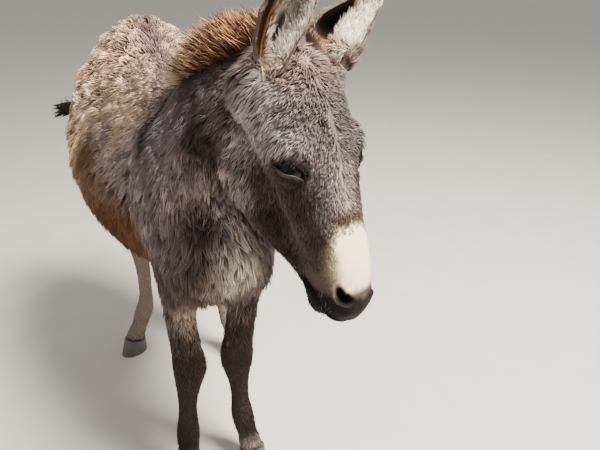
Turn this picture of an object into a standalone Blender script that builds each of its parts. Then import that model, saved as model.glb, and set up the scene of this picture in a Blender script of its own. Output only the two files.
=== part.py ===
"""A life-size standing donkey with a woolly coat, built as faceted solids.

The animal faces -Y, its own left side is +X and +Z is up; lengths are in metres.
The flesh is modelled whole, as lofts and masses of muscle fused into one closed surface, and is
then parted by thin cuts into head, neck, mane, trunk, tail and legs. Ears, eyes and hooves are
solids of their own. The surface is the outside of the coat, out to the tips of the hair.
"""

import math

import bmesh
import bpy
from mathutils import Matrix, Vector

# Sizes of the whole animal.
EAR_LENGTH = 0.235
EAR_GAP = 0.0004
EYE_RADIUS = 0.022
EYE_GAP = 0.0004
HOOF_HEIGHT = 0.056
CUT_WIDTH = 0.0008
SIDES = {"left": 1, "right": -1}

# Fineness of the surface.
RING_POINTS = 28
EAR_POINTS = 12
HOOF_POINTS = 20
SHARP_ANGLE = math.radians(50)
FUSE_VOXEL = 0.0075
SMOOTH_ROUNDS = 13
FLESH_TRIANGLES = 4900
HEAD_MIDDLE, HEAD_REACH = (0.220, -0.080, 0.0), 0.28
HEAD_WEIGHT, HEAD_KEPT_FINER = 0.5, 1e-2

# Pose of the head: the poll's place, the way the face runs from poll to nose, and the way the
# forehead faces. The head hangs and is turned to the animal's left.
POLL = Vector((0.150, -0.300, 1.110))
FACE_RUN = Vector((0.120, -0.400, -0.910)).normalized()
FOREHEAD_OUT = Vector((0.480, -0.780, 0.400))
FOREHEAD_OUT = (FOREHEAD_OUT - FACE_RUN * FOREHEAD_OUT.dot(FACE_RUN)).normalized()
HEAD_LEFT = FOREHEAD_OUT.cross(FACE_RUN)
HEAD_AXES = Matrix((FACE_RUN, FOREHEAD_OUT, HEAD_LEFT)).transposed()

# How far down from its top a section is widest.
TRUNK_WIDEST = 0.50
UPPER_HEAD_WIDEST = 0.42
JAW_WIDEST = 0.45

# How far the top of a neck or mane section is drawn in, and how deep the mane is rooted.
NECK_TAPER = 0.25
MANE_TAPER = 0.35
MANE_ROOT = 0.03

# Trunk sections: place along Y, top, bottom, half width, and how far the top is drawn in.
TRUNK_SECTIONS = (
    (-0.245, 0.735, 0.670, 0.055, 0.00),
    (-0.220, 0.775, 0.620, 0.090, 0.02),
    (-0.160, 0.840, 0.578, 0.122, 0.10),
    (-0.060, 0.985, 0.560, 0.152, 0.30),
    (0.040, 1.036, 0.548, 0.188, 0.42),
    (0.160, 1.038, 0.527, 0.224, 0.34),
    (0.290, 1.055, 0.527, 0.242, 0.28),
    (0.400, 1.105, 0.550, 0.242, 0.30),
    (0.490, 1.118, 0.605, 0.226, 0.34),
    (0.580, 1.072, 0.655, 0.195, 0.28),
    (0.650, 0.990, 0.710, 0.138, 0.12),
    (0.680, 0.930, 0.770, 0.070, 0.00),
)

# How far the chest leans over to the animal's left, and where along Y the lean begins and is full.
CHEST_LEAN = 0.020
LEAN_FROM, LEAN_FULL = 0.200, 0.000

# Neck sections: centre X, Y and Z, half width, rise to the crest, drop to the throat.
NECK_SECTIONS = (
    (0.008, 0.030, 0.850, 0.116, 0.160, 0.220),
    (0.012, -0.070, 0.885, 0.112, 0.145, 0.165),
    (0.033, -0.140, 0.948, 0.098, 0.110, 0.066),
    (0.085, -0.220, 0.995, 0.084, 0.100, 0.062),
    (0.125, -0.252, 1.020, 0.076, 0.090, 0.080),
)

# Mane sections: root X, Y and Z on the crest, height, half width.
MANE_SECTIONS = (
    (0.000, 0.040, 1.020, 0.018, 0.010),
    (-0.004, -0.024, 1.012, 0.034, 0.015),
    (0.008, -0.107, 1.034, 0.062, 0.019),
    (0.055, -0.184, 1.073, 0.078, 0.021),
    (0.096, -0.227, 1.095, 0.070, 0.018),
    (0.125, -0.258, 1.105, 0.052, 0.013),
)

# Tail sections: centre X, Y and Z, half width, half height. The tail swings to the right.
TAIL_SECTIONS = (
    (0.000, 0.615, 0.975, 0.036, 0.030),
    (0.000, 0.670, 0.955, 0.032, 0.027),
    (-0.008, 0.712, 0.912, 0.027, 0.023),
    (-0.045, 0.742, 0.866, 0.022, 0.020),
    (-0.110, 0.758, 0.836, 0.020, 0.019),
    (-0.180, 0.748, 0.826, 0.026, 0.025),
    (-0.230, 0.728, 0.824, 0.022, 0.021),
    (-0.272, 0.708, 0.822, 0.006, 0.006),
)

# Upper head sections: distance along the face, top and bottom out from the poll, half width,
# and how far the top is drawn in. The jaw's are the same.
UPPER_HEAD_SECTIONS = (
    (-0.030, -0.020, -0.110, 0.046, 0.10),
    (-0.005, 0.002, -0.125, 0.092, 0.14),
    (0.050, 0.016, -0.130, 0.116, 0.14),
    (0.110, 0.020, -0.125, 0.113, 0.11),
    (0.170, 0.014, -0.120, 0.099, 0.06),
    (0.230, 0.004, -0.110, 0.084, 0.04),
    (0.290, -0.002, -0.105, 0.071, 0.04),
    (0.345, -0.003, -0.103, 0.058, 0.04),
    (0.390, -0.007, -0.104, 0.051, 0.06),
    (0.425, -0.020, -0.104, 0.048, 0.08),
    (0.448, -0.044, -0.098, 0.036, 0.00),
)
JAW_SECTIONS = (
    (0.040, -0.060, -0.165, 0.035, 0.00),
    (0.080, -0.050, -0.214, 0.056, 0.00),
    (0.130, -0.045, -0.242, 0.066, 0.00),
    (0.190, -0.045, -0.248, 0.066, 0.00),
    (0.240, -0.050, -0.230, 0.058, 0.00),
    (0.290, -0.055, -0.198, 0.047, 0.00),
    (0.335, -0.060, -0.160, 0.039, 0.00),
    (0.375, -0.070, -0.136, 0.035, 0.00),
    (0.410, -0.080, -0.136, 0.034, 0.00),
    (0.436, -0.090, -0.122, 0.024, 0.00),
)

# Masses on the head, each on both sides: place along, out and left, and the radii so.
HEAD_MASSES = {
    "brow": ((0.150, -0.022, 0.077), (0.040, 0.032, 0.034)),
    "cheek": ((0.150, -0.140, 0.046), (0.095, 0.095, 0.030)),
    "nostril": ((0.416, -0.044, 0.033), (0.030, 0.026, 0.019)),
    "ear_muscle": ((0.042, -0.060, 0.080), (0.058, 0.058, 0.044)),
}
LIP = ((0.420, -0.060, 0.000), (0.040, 0.044, 0.045))
CHIN = ((0.414, -0.114, 0.000), (0.032, 0.024, 0.030))
EYE_PLACE = (0.178, -0.034, 0.081)
NOSTRIL_PLACE = (0.425, -0.050, 0.051)
NOSTRIL_RADII = (0.019, 0.009, 0.011)

# Masses on the trunk, each on both sides: place and radii.
TRUNK_MASSES = {
    "shoulder": ((0.070, -0.055, 0.790), (0.086, 0.130, 0.190)),
    "breast": ((0.055, -0.135, 0.690), (0.070, 0.098, 0.115)),
    "haunch": ((0.110, 0.500, 0.830), (0.104, 0.160, 0.190)),
    "buttock": ((0.080, 0.600, 0.830), (0.075, 0.085, 0.160)),
}

# Leg sections from the body down: X from the midline, Y, Z, half width, half depth.
FORELEG_SECTIONS = (
    (0.096, -0.070, 0.760, 0.050, 0.105),
    (0.090, -0.050, 0.640, 0.050, 0.092),
    (0.080, -0.032, 0.540, 0.045, 0.070),
    (0.075, -0.028, 0.450, 0.040, 0.054),
    (0.065, -0.030, 0.375, 0.042, 0.046),
    (0.060, -0.034, 0.325, 0.048, 0.047),
    (0.064, -0.030, 0.275, 0.037, 0.038),
    (0.069, -0.032, 0.215, 0.028, 0.031),
    (0.072, -0.038, 0.165, 0.030, 0.033),
    (0.074, -0.044, 0.132, 0.036, 0.038),
    (0.077, -0.062, 0.092, 0.031, 0.031),
    (0.079, -0.076, 0.062, 0.036, 0.037),
    (0.080, -0.086, 0.035, 0.036, 0.037),
)
HINDLEG_SECTIONS = (
    (0.115, 0.490, 0.850, 0.092, 0.150),
    (0.138, 0.460, 0.720, 0.083, 0.140),
    (0.136, 0.475, 0.600, 0.066, 0.105),
    (0.120, 0.535, 0.500, 0.047, 0.068),
    (0.094, 0.598, 0.425, 0.037, 0.050),
    (0.084, 0.616, 0.375, 0.039, 0.047),
    (0.080, 0.600, 0.315, 0.031, 0.037),
    (0.080, 0.582, 0.240, 0.027, 0.031),
    (0.088, 0.571, 0.175, 0.029, 0.033),
    (0.096, 0.562, 0.137, 0.036, 0.038),
    (0.096, 0.538, 0.096, 0.031, 0.031),
    (0.096, 0.516, 0.064, 0.036, 0.037),
    (0.096, 0.502, 0.035, 0.036, 0.037),
)
FETLOCK = -4
TURN_LENGTH = 0.08

# Each leg leans to the animal's left, from the fetlock up, and its foot is set off from the
# place in the sections and turned out.
LEG_SECTIONS = {"foreleg": FORELEG_SECTIONS, "hindleg": HINDLEG_SECTIONS}
LEG_LEAN = {"foreleg": 0.028, "hindleg": 0.000}
LEAN_LOW, LEAN_HIGH = 0.130, 0.660
STEP_LOW, STEP_HIGH = 0.250, 0.600
STEPS = {
    "foreleg_left": Vector((0.0, 0.0, 0.0)),
    "foreleg_right": Vector((0.0, 0.0, 0.0)),
    "hindleg_left": Vector((0.066, -0.175, 0.0)),
    "hindleg_right": Vector((0.0, 0.0, 0.0)),
}
TOES_OUT = {"foreleg_left": 8, "foreleg_right": 6, "hindleg_left": 14, "hindleg_right": 58}

# How far a leg's rings tilt to stay square to a sloping leg.
RING_TILT = 0.6

# A hoof in its own frame: half widths, and how far the toe and the heel lie from its centre.
HOOF_SOLE = {"half_width": 0.036, "toe": 0.052, "heel": 0.040}
HOOF_CROWN = {"half_width": 0.0335, "toe": 0.029, "heel": 0.042}
HEEL_DROP = 0.020
FOOT_CUT_REACH = (0.085, 0.085, 0.120)

# The cut at the top of a leg: its place, how it climbs outwards and backwards, and its reach.
LEG_CUTS = {
    "foreleg": ((0.118, -0.060, 0.540), (0.42, -0.30), (0.122, 0.185)),
    "hindleg": ((0.140, 0.490, 0.605), (0.42, 0.60), (0.145, 0.260)),
}

# The cut before the shoulders, from the withers down to the breast, and the cut of the tail.
NECK_CUT_HIGH = Vector((0, -0.035, 1.060))
NECK_CUT_LOW = Vector((0, -0.255, 0.790))
NECK_CUT_REACH = (0.24, 0.26)
TAIL_CUT_PLACE = Vector((-0.003, 0.702, 0.925))
TAIL_CUT_NORMAL = Vector((-0.10, 0.97, -0.20))
TAIL_CUT_REACH = (0.06, 0.075)

# The cut behind the head, along the face and out of it, and how far it goes to each side.
HEAD_CUT = (
    (-0.080, 0.060),
    (-0.055, -0.040),
    (-0.022, -0.140),
    (0.020, -0.200),
    (0.065, -0.240),
    (0.130, -0.260),
    (0.200, -0.264),
    (0.270, -0.235),
)
HEAD_CUT_REACH = 0.165

# The cut along the crest, below the mane, and how far it goes to each side.
MANE_CUT = (
    (0.000, 0.110, 1.085),
    (0.000, 0.050, 1.052),
    (-0.010, -0.021, 1.030),
    (0.003, -0.107, 1.052),
    (0.050, -0.184, 1.089),
    (0.094, -0.227, 1.108),
    (0.140, -0.275, 1.125),
)
MANE_CUT_REACH = 0.045

# Ears: root on the head (along, out, left), the way the ear runs, and the way it opens.
EARS = {
    "left": ((0.004, -0.036, 0.102), Vector((0.42, -0.115, 0.90)), Vector((-0.42, -0.90, -0.08))),
    "right": ((0.026, -0.034, -0.062), Vector((0.15, -0.26, 0.955)), Vector((-0.30, -0.95, 0.00))),
}
# Ear sections: share of the length, half width, half depth.
EAR_SECTIONS = (
    (-0.09, 0.026, 0.024),
    (0.00, 0.030, 0.027),
    (0.10, 0.034, 0.029),
    (0.25, 0.042, 0.031),
    (0.45, 0.043, 0.029),
    (0.65, 0.038, 0.023),
    (0.82, 0.028, 0.016),
    (0.94, 0.014, 0.009),
    (1.00, 0.004, 0.003),
)
# The scoop of the ear: share of the length, half width, half depth, and its shift to the front.
SCOOP_SECTIONS = (
    (0.04, 0.006, 0.006, 0.032),
    (0.12, 0.021, 0.021, 0.024),
    (0.26, 0.032, 0.028, 0.018),
    (0.45, 0.034, 0.027, 0.015),
    (0.65, 0.029, 0.023, 0.014),
    (0.82, 0.019, 0.016, 0.012),
    (0.93, 0.007, 0.009, 0.010),
)


def on_head(along, out, left):
    """A point of the head, from its distances along the face, out of it and to the left."""
    return POLL + HEAD_AXES @ Vector((along, out, left))


# A point near the middle of each node of the flesh, to name it by.
NODE_MIDDLES = {
    "head": on_head(0.22, -0.09, 0),
    "neck": Vector((0.05, -0.14, 0.93)),
    "mane": Vector((0.05, -0.12, 1.13)),
    "trunk": Vector((0, 0.25, 0.80)),
    "tail": Vector((-0.10, 0.73, 0.86)),
    "foreleg_left": Vector((0.08, -0.04, 0.32)),
    "foreleg_right": Vector((-0.08, -0.04, 0.32)),
    "hindleg_left": Vector((0.10, 0.55, 0.35)),
    "hindleg_right": Vector((-0.10, 0.55, 0.35)),
}


def share_between(value, start, end):
    """How far a value has gone from start to end, from 0 to 1."""
    return min(max((value - start) / (end - start), 0.0), 1.0)


def interpolate(rows, steps):
    """Rows of numbers run through by a smooth curve, with steps spans between each two rows."""
    smooth = []
    for index in range(len(rows) - 1):
        before, start = rows[max(index - 1, 0)], rows[index]
        end, after = rows[index + 1], rows[min(index + 2, len(rows) - 1)]
        for step in range(steps):
            t = step / steps
            row = []
            for a, b, c, d in zip(before, start, end, after):
                slope, bend, twist = c - a, 2 * a - 5 * b + 4 * c - d, 3 * b - a - 3 * c + d
                row.append(0.5 * (2 * b + slope * t + bend * t**2 + twist * t**3))
            smooth.append(tuple(row))
    smooth.append(tuple(rows[-1]))
    return smooth


def ring(centre, side, up, half_width, rise, drop, taper=0.0, count=RING_POINTS):
    """Points of one body section: an oval with its own rise and drop, its top drawn in by taper."""
    points = []
    for step in range(count):
        angle = 2 * math.pi * step / count
        across, height = math.cos(angle), math.sin(angle)
        reach = rise if height > 0 else drop
        width = half_width * (1 - taper * max(height, 0.0))
        points.append(centre + side * width * across + up * reach * height)
    return points


def loft(rings):
    """A closed bmesh skinned through rings of points, with its ends filled."""
    shape = bmesh.new()
    loops = []
    for points in rings:
        corners = [shape.verts.new(point) for point in points]
        loops.append([shape.edges.new(pair) for pair in zip(corners, corners[1:] + corners[:1])])
    for first, second in zip(loops, loops[1:]):
        bmesh.ops.bridge_loops(shape, edges=first + second)
    bmesh.ops.holes_fill(shape, edges=shape.edges, sides=RING_POINTS)
    bmesh.ops.recalc_face_normals(shape, faces=shape.faces)
    return shape


def ellipsoid(centre, radii, axes=Matrix.Identity(3), fineness=3):
    """A closed bmesh egg of muscle, its radii along the columns of axes."""
    shape = bmesh.new()
    place = Matrix.Translation(centre) @ axes.to_4x4() @ Matrix.Diagonal((*radii, 1))
    bmesh.ops.create_icosphere(shape, subdivisions=fineness, radius=1.0, matrix=place)
    return shape


def runs(centres):
    """The direction of a line of centres at each of them."""
    ends = centres[:1] + centres + centres[-1:]
    return [(after - before).normalized() for before, after in zip(ends, ends[2:])]


def head_loft(sections, widest):
    """A loft along the face. widest is how far down from its top a section is widest."""
    rings = []
    for along, top, bottom, half_width, taper in interpolate(sections, 3):
        middle = top + (bottom - top) * widest
        centre = on_head(along, middle, 0)
        rise, drop = top - middle, middle - bottom
        rings.append(ring(centre, HEAD_LEFT, FOREHEAD_OUT, half_width, rise, drop, taper))
    return loft(rings)


def head_shapes():
    """The upper head, the jaw, the lips and chin, and the masses on both sides."""
    shapes = [head_loft(UPPER_HEAD_SECTIONS, UPPER_HEAD_WIDEST), head_loft(JAW_SECTIONS, JAW_WIDEST)]
    shapes += [ellipsoid(on_head(*place), radii, HEAD_AXES) for place, radii in (LIP, CHIN)]
    for (along, out, left), radii in HEAD_MASSES.values():
        shapes += [ellipsoid(on_head(along, out, left * side), radii, HEAD_AXES) for side in SIDES.values()]
    return shapes


def chest_lean(place):
    """How far over to the left the trunk lies at a place along Y."""
    return CHEST_LEAN * share_between(place, LEAN_FROM, LEAN_FULL)


def trunk_shapes():
    """The barrel, and the shoulders, breast, haunches and buttocks on both sides."""
    side, up = Vector((1, 0, 0)), Vector((0, 0, 1))
    rings = []
    for place, top, bottom, half_width, taper in interpolate(TRUNK_SECTIONS, 3):
        middle = bottom + (top - bottom) * TRUNK_WIDEST
        centre = Vector((chest_lean(place), place, middle))
        rings.append(ring(centre, side, up, half_width, top - middle, middle - bottom, taper))
    shapes = [loft(rings)]
    for (x, y, z), radii in TRUNK_MASSES.values():
        shapes += [ellipsoid(Vector((x * hand + chest_lean(y), y, z)), radii) for hand in SIDES.values()]
    return shapes


def neck_shape():
    """The neck, from inside the shoulders up and round to the poll."""
    rows = interpolate(NECK_SECTIONS, 4)
    centres = [Vector(row[:3]) for row in rows]
    rings = []
    for row, centre, run in zip(rows, centres, runs(centres)):
        side = run.cross(Vector((0, 0, 1))).normalized()
        rings.append(ring(centre, side, side.cross(run), *row[3:], NECK_TAPER))
    return loft(rings)


def mane_shape():
    """The upright mane, a ridge from the poll down to the withers."""
    rows = interpolate(MANE_SECTIONS, 4)
    centres = [Vector(row[:3]) for row in rows]
    rings = []
    for row, centre, run in zip(rows, centres, runs(centres)):
        side = run.cross(Vector((0, 0, 1))).normalized()
        rings.append(ring(centre, side, side.cross(run), row[4], row[3], MANE_ROOT, MANE_TAPER))
    return loft(rings)


def tail_shape():
    """The tail with its tuft, swung out behind the right haunch."""
    rows = interpolate(TAIL_SECTIONS, 4)
    centres = [Vector(row[:3]) for row in rows]
    side = Vector((1, 0, 0))
    rings = []
    for row, centre, run in zip(rows, centres, runs(centres)):
        side = (side - run * side.dot(run)).normalized()
        rings.append(ring(centre, side, run.cross(side), row[3], row[4], row[4]))
    return loft(rings)


def foot_turn(leg, hand):
    """A leg's fetlock, and the turn about it that points the toe outwards."""
    side = SIDES[hand]
    x, y, z = LEG_SECTIONS[leg][FETLOCK][:3]
    fetlock = Vector((x * side, y, z)) + STEPS[f"{leg}_{hand}"]
    return fetlock, Matrix.Rotation(math.radians(TOES_OUT[f"{leg}_{hand}"]) * side, 3, "Z")


def leg_shape(leg, hand):
    """One leg down into its hoof, with the foot turned out below the fetlock."""
    rows = interpolate(LEG_SECTIONS[leg], 3)
    centres = [Vector((row[0] * SIDES[hand], row[1], row[2])) for row in rows]
    for centre in centres:
        centre.x += LEG_LEAN[leg] * share_between(centre.z, LEAN_LOW, LEAN_HIGH)
        centre += STEPS[f"{leg}_{hand}"] * share_between(centre.z, STEP_HIGH, STEP_LOW)
    fetlock, turn = foot_turn(leg, hand)
    rings = []
    for row, centre, run in zip(rows, centres, runs(centres)):
        depth = Vector((0, 1, 0)) - run * run.y * RING_TILT
        points = ring(centre, Vector((1, 0, 0)), depth.normalized(), row[3], row[4], row[4])
        share = share_between(centre.z, fetlock.z + TURN_LENGTH, fetlock.z)
        part_turn = Matrix.Identity(3).lerp(turn, share)
        rings.append([fetlock + part_turn @ (point - fetlock) for point in points])
    return loft(rings)


def foot_frame(leg, hand):
    """Where a hoof stands: its axes as columns, across, to the toe and up, and its centre."""
    fetlock, turn = foot_turn(leg, hand)
    x, y = LEG_SECTIONS[leg][-1][:2]
    last = Vector((x * SIDES[hand], y, 0)) + STEPS[f"{leg}_{hand}"]
    place = fetlock + turn @ (last - fetlock)
    frame = turn.to_4x4() @ Matrix.Rotation(math.pi, 4, "Z")
    frame.translation = (place.x, place.y, 0)
    return frame


def hoof_outline(half_width, toe, heel, front_height, back_height):
    """An outline round the hoof in its own frame, level or sloping down to the heel."""
    points = []
    for step in range(HOOF_POINTS):
        angle = 2 * math.pi * step / HOOF_POINTS
        along = math.sin(angle) * (toe if math.sin(angle) > 0 else heel)
        share = (along + heel) / (toe + heel)
        height = back_height + (front_height - back_height) * share
        points.append(Vector((math.cos(angle) * half_width, along, height)))
    return points


def hoof_shape(frame):
    """One hoof, flat below, its wall sloping in to the coronet."""
    sole = hoof_outline(**HOOF_SOLE, front_height=0, back_height=0)
    crown = hoof_outline(**HOOF_CROWN, front_height=HOOF_HEIGHT, back_height=HOOF_HEIGHT - HEEL_DROP)
    return loft([[frame @ point for point in points] for points in (sole, crown)])


def foot_cutter(frame):
    """A block below the coronet, whose top slopes as the hoof's does, with a gap above the horn."""
    slope = HEEL_DROP / (HOOF_CROWN["toe"] + HOOF_CROWN["heel"])
    shape = bmesh.new()
    bmesh.ops.create_cube(shape, size=2.0, matrix=Matrix.Diagonal((*FOOT_CUT_REACH, 1)))
    top = HOOF_HEIGHT - slope * HOOF_CROWN["toe"] + CUT_WIDTH
    for corner in shape.verts:
        if corner.co.z > 0:
            corner.co.z = top + slope * corner.co.y
    shape.transform(frame)
    return shape


def ear_axes(run, opening):
    """Columns: across the ear, out of its opening, along it."""
    run = run.normalized()
    out = (opening - run * opening.dot(run)).normalized()
    return Matrix((out.cross(run), out, run)).transposed()


def ear_loft(root, axes, rows, grown=0.0):
    """A loft along an ear through rows of length share, half width, half depth and shift."""
    side, out, run = axes.col[0].copy(), axes.col[1].copy(), axes.col[2].copy()
    rings = []
    for share, half_width, half_depth, shift in rows:
        centre = root + run * (share * EAR_LENGTH) + out * shift
        half_width, half_depth = half_width + grown, half_depth + grown
        rings.append(ring(centre, side, out, half_width, half_depth, half_depth, count=EAR_POINTS))
    return loft(rings)


def slab(centre, normal, across, reach, thickness=CUT_WIDTH):
    """A thin cutter: reach is how far it goes each way along across and square to it."""
    normal = normal.normalized()
    across = (across - normal * across.dot(normal)).normalized()
    shape = bmesh.new()
    axes = Matrix((across, normal.cross(across), normal)).transposed().to_4x4()
    size = Matrix.Diagonal((reach[0], reach[1], thickness / 2, 1))
    bmesh.ops.create_cube(shape, size=2.0, matrix=Matrix.Translation(centre) @ axes @ size)
    return shape


def ribbon(centres, sides):
    """A thin cutter swept through centres, as wide each way as sides are long."""
    shape = bmesh.new()
    near = [shape.verts.new(centre - side) for centre, side in zip(centres, sides)]
    rim = [shape.edges.new(pair) for pair in zip(near, near[1:])]
    swept = bmesh.ops.extrude_edge_only(shape, edges=rim)["geom"]
    far = [corner for corner in swept if isinstance(corner, bmesh.types.BMVert)]
    for corner in far:
        number = min(range(len(centres)), key=lambda index: (near[index].co - corner.co).length)
        corner.co += 2 * sides[number]
    shape.normal_update()
    bmesh.ops.solidify(shape, geom=shape.faces[:], thickness=CUT_WIDTH)
    bmesh.ops.recalc_face_normals(shape, faces=shape.faces)
    return shape


def mane_ribbon():
    """The cutter that follows the crest and parts the mane from the neck."""
    centres = [Vector(row) for row in interpolate(MANE_CUT, 3)]
    sides = [run.cross(Vector((0, 0, 1))).normalized() * MANE_CUT_REACH for run in runs(centres)]
    return ribbon(centres, sides)


def head_ribbon():
    """The cutter that runs behind the ears and the cheeks and parts the head from the neck."""
    centres = [on_head(along, out, 0) for along, out in interpolate(HEAD_CUT, 3)]
    return ribbon(centres, [HEAD_LEFT * HEAD_CUT_REACH] * len(centres))


def new_object(name, shape, *materials):
    """Links a new object that holds the bmesh."""
    mesh = bpy.data.meshes.new(name)
    shape.to_mesh(mesh)
    shape.free()
    for material in materials:
        mesh.materials.append(material)
    made = bpy.data.objects.new(name, mesh)
    bpy.context.scene.collection.objects.link(made)
    return made


def settle(made):
    """Puts an object's modifiers into its mesh."""
    graph = bpy.context.evaluated_depsgraph_get()
    old = made.data
    made.data = bpy.data.meshes.new_from_object(made.evaluated_get(graph))
    made.modifiers.clear()
    bpy.data.meshes.remove(old)
    made.data.name = made.name


def cut(made, cutters):
    """Takes the bmesh cutters away from an object."""
    for number, shape in enumerate(cutters):
        cutter = new_object(f"cutter_{number}", shape)
        difference = made.modifiers.new("cut", "BOOLEAN")
        difference.operation = "DIFFERENCE"
        difference.object = cutter
        settle(made)
        bpy.data.objects.remove(cutter)


def fused(name, shapes):
    """One closed smooth surface round overlapping shapes."""
    whole = bmesh.new()
    for shape in shapes:
        mesh = bpy.data.meshes.new("piece")
        shape.to_mesh(mesh)
        shape.free()
        whole.from_mesh(mesh)
        bpy.data.meshes.remove(mesh)
    made = new_object(name, whole)
    fuse = made.modifiers.new("fuse", "REMESH")
    fuse.mode = "VOXEL"
    fuse.voxel_size = FUSE_VOXEL
    smooth = made.modifiers.new("smooth", "SMOOTH")
    smooth.factor = 0.5
    smooth.iterations = SMOOTH_ROUNDS
    settle(made)
    return made


def thin_out(made, triangles):
    """Thins the flesh to a number of triangles, keeping the head finer than the rest."""
    group = made.vertex_groups.new(name="thinned")
    middle = on_head(*HEAD_MIDDLE)
    for corner in made.data.vertices:
        weight = HEAD_WEIGHT if (corner.co - middle).length < HEAD_REACH else 1.0
        group.add([corner.index], weight, "REPLACE")
    made.data.calc_loop_triangles()
    thin = made.modifiers.new("thin", "DECIMATE")
    thin.ratio = triangles / len(made.data.loop_triangles)
    thin.vertex_group = group.name
    thin.vertex_group_factor = HEAD_KEPT_FINER
    settle(made)
    made.vertex_groups.clear()


def islands(made):
    """The separate closed surfaces of an object, each as a set of face numbers and its middle."""
    whole = bmesh.new()
    whole.from_mesh(made.data)
    left_over = set(whole.faces)
    found = []
    while left_over:
        patch, edge_of_patch = set(), [left_over.pop()]
        while edge_of_patch:
            face = edge_of_patch.pop()
            patch.add(face)
            near = {other for edge in face.edges for other in edge.link_faces} & left_over
            left_over -= near
            edge_of_patch += near
        area = sum(face.calc_area() for face in patch)
        middle = sum((face.calc_center_median() * face.calc_area() for face in patch), Vector()) / area
        found.append(({face.index for face in patch}, middle))
    whole.free()
    return found


def keep_faces(mesh, numbers):
    """A bmesh of only the faces of a mesh with these numbers."""
    piece = bmesh.new()
    piece.from_mesh(mesh)
    rest = [face for face in piece.faces if face.index not in numbers]
    bmesh.ops.delete(piece, geom=rest, context="FACES")
    return piece


def part_off(made, name, cutter, material):
    """Cuts an object in two and makes the piece that lies nearest to its node's middle an object."""
    cut(made, [cutter])
    found = islands(made)
    if len(found) < 2:
        raise ValueError(f"the cut of {name} leaves one piece")
    numbers, _ = min(found, key=lambda island: (island[1] - NODE_MIDDLES[name]).length)
    piece = new_object(name, keep_faces(made.data, numbers), material)
    rest = keep_faces(made.data, set(range(len(made.data.polygons))) - numbers)
    rest.to_mesh(made.data)
    rest.free()
    return piece


def finish(name, colour, roughness):
    """A plain material."""
    material = bpy.data.materials.new(name)
    material.use_nodes = True
    shader = material.node_tree.nodes["Principled BSDF"]
    shader.inputs["Base Color"].default_value = (*colour, 1)
    shader.inputs["Roughness"].default_value = roughness
    return material


def neck_cut():
    """The cutter between the neck and the shoulders."""
    across = Vector((1, 0, 0))
    down = NECK_CUT_LOW - NECK_CUT_HIGH
    return slab((NECK_CUT_HIGH + NECK_CUT_LOW) / 2, down.cross(across), across, NECK_CUT_REACH)


def tail_cut():
    """The cutter at the root of the tail."""
    return slab(TAIL_CUT_PLACE, TAIL_CUT_NORMAL, Vector((1, 0, 0)), TAIL_CUT_REACH)


def leg_cut(leg, side):
    """The cutter at the top of a leg, higher on its outer side."""
    (x, y, z), (slope_out, slope_back), reach = LEG_CUTS[leg]
    normal = Vector((-slope_out * side, -slope_back, 1))
    return slab(Vector((x * side, y, z)), normal, Vector((1, 0, 0)), reach)


def stand_on_origin(parts):
    """Shades the parts and moves them so that the middle of the whole foot print is the origin."""
    corners = [corner.co for part in parts for corner in part.data.vertices]
    low = [min(corner[axis] for corner in corners) for axis in range(3)]
    high = [max(corner[axis] for corner in corners) for axis in range(3)]
    shift = Vector((-(low[0] + high[0]) / 2, -(low[1] + high[1]) / 2, -low[2]))
    for part in parts:
        part.data.transform(Matrix.Translation(shift))
        part.data.shade_smooth()
        part.data.set_sharp_from_angle(angle=SHARP_ANGLE)


def main():
    """Builds the animal."""
    for old in list(bpy.data.objects):
        bpy.data.objects.remove(old)
    coat = finish("grey_coat", (0.30, 0.25, 0.22), 0.9)
    dark = finish("dark_hair", (0.10, 0.07, 0.06), 0.9)
    horn = finish("hoof_horn", (0.14, 0.12, 0.10), 0.55)
    eye = finish("eye", (0.015, 0.010, 0.008), 0.08)

    shapes = head_shapes() + trunk_shapes() + [neck_shape(), mane_shape(), tail_shape()]
    frames = {}
    for leg in LEG_SECTIONS:
        for hand in SIDES:
            shapes.append(leg_shape(leg, hand))
            frames[f"hoof_{leg[:-3]}_{hand}"] = foot_frame(leg, hand)
    ears = {hand: (on_head(*root), ear_axes(run, opening)) for hand, (root, run, opening) in EARS.items()}
    flesh = fused("flesh", shapes)
    flesh.data.materials.append(coat)
    thin_out(flesh, FLESH_TRIANGLES)

    cutters = [foot_cutter(frame) for frame in frames.values()]
    ear_rows = [(*row, 0.0) for row in interpolate(EAR_SECTIONS, 2)]
    for root, axes in ears.values():
        cutters.append(ear_loft(root - axes.col[2] * EAR_GAP, axes, ear_rows, EAR_GAP))
    along, out, left = EYE_PLACE
    eyes = {hand: on_head(along, out, left * side) for hand, side in SIDES.items()}
    cutters += [ellipsoid(centre, (EYE_RADIUS + EYE_GAP,) * 3, fineness=2) for centre in eyes.values()]
    along, out, left = NOSTRIL_PLACE
    for side in SIDES.values():
        cutters.append(ellipsoid(on_head(along, out, left * side), NOSTRIL_RADII, HEAD_AXES, 2))
    cut(flesh, cutters)

    flesh.name = "trunk"
    part_off(flesh, "head", head_ribbon(), coat)
    part_off(flesh, "mane", mane_ribbon(), dark)
    part_off(flesh, "neck", neck_cut(), coat)
    part_off(flesh, "tail", tail_cut(), dark)
    for leg in LEG_SECTIONS:
        for hand, side in SIDES.items():
            part_off(flesh, f"{leg}_{hand}", leg_cut(leg, side), coat)

    for name, frame in frames.items():
        new_object(name, hoof_shape(frame), horn)
    for hand, centre in eyes.items():
        new_object(f"eye_{hand}", ellipsoid(centre, (EYE_RADIUS,) * 3, fineness=2), eye)
    for hand, (root, axes) in ears.items():
        ear = new_object(f"ear_{hand}", ear_loft(root, axes, ear_rows), coat)
        cut(ear, [ear_loft(root, axes, interpolate(SCOOP_SECTIONS, 2))])
    stand_on_origin([made for made in bpy.data.objects if made.type == "MESH"])


main()
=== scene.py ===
"""The looks of a life-size model donkey: one skin, its coat of solid tufts, eyes, hooves, mane and tail."""

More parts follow.
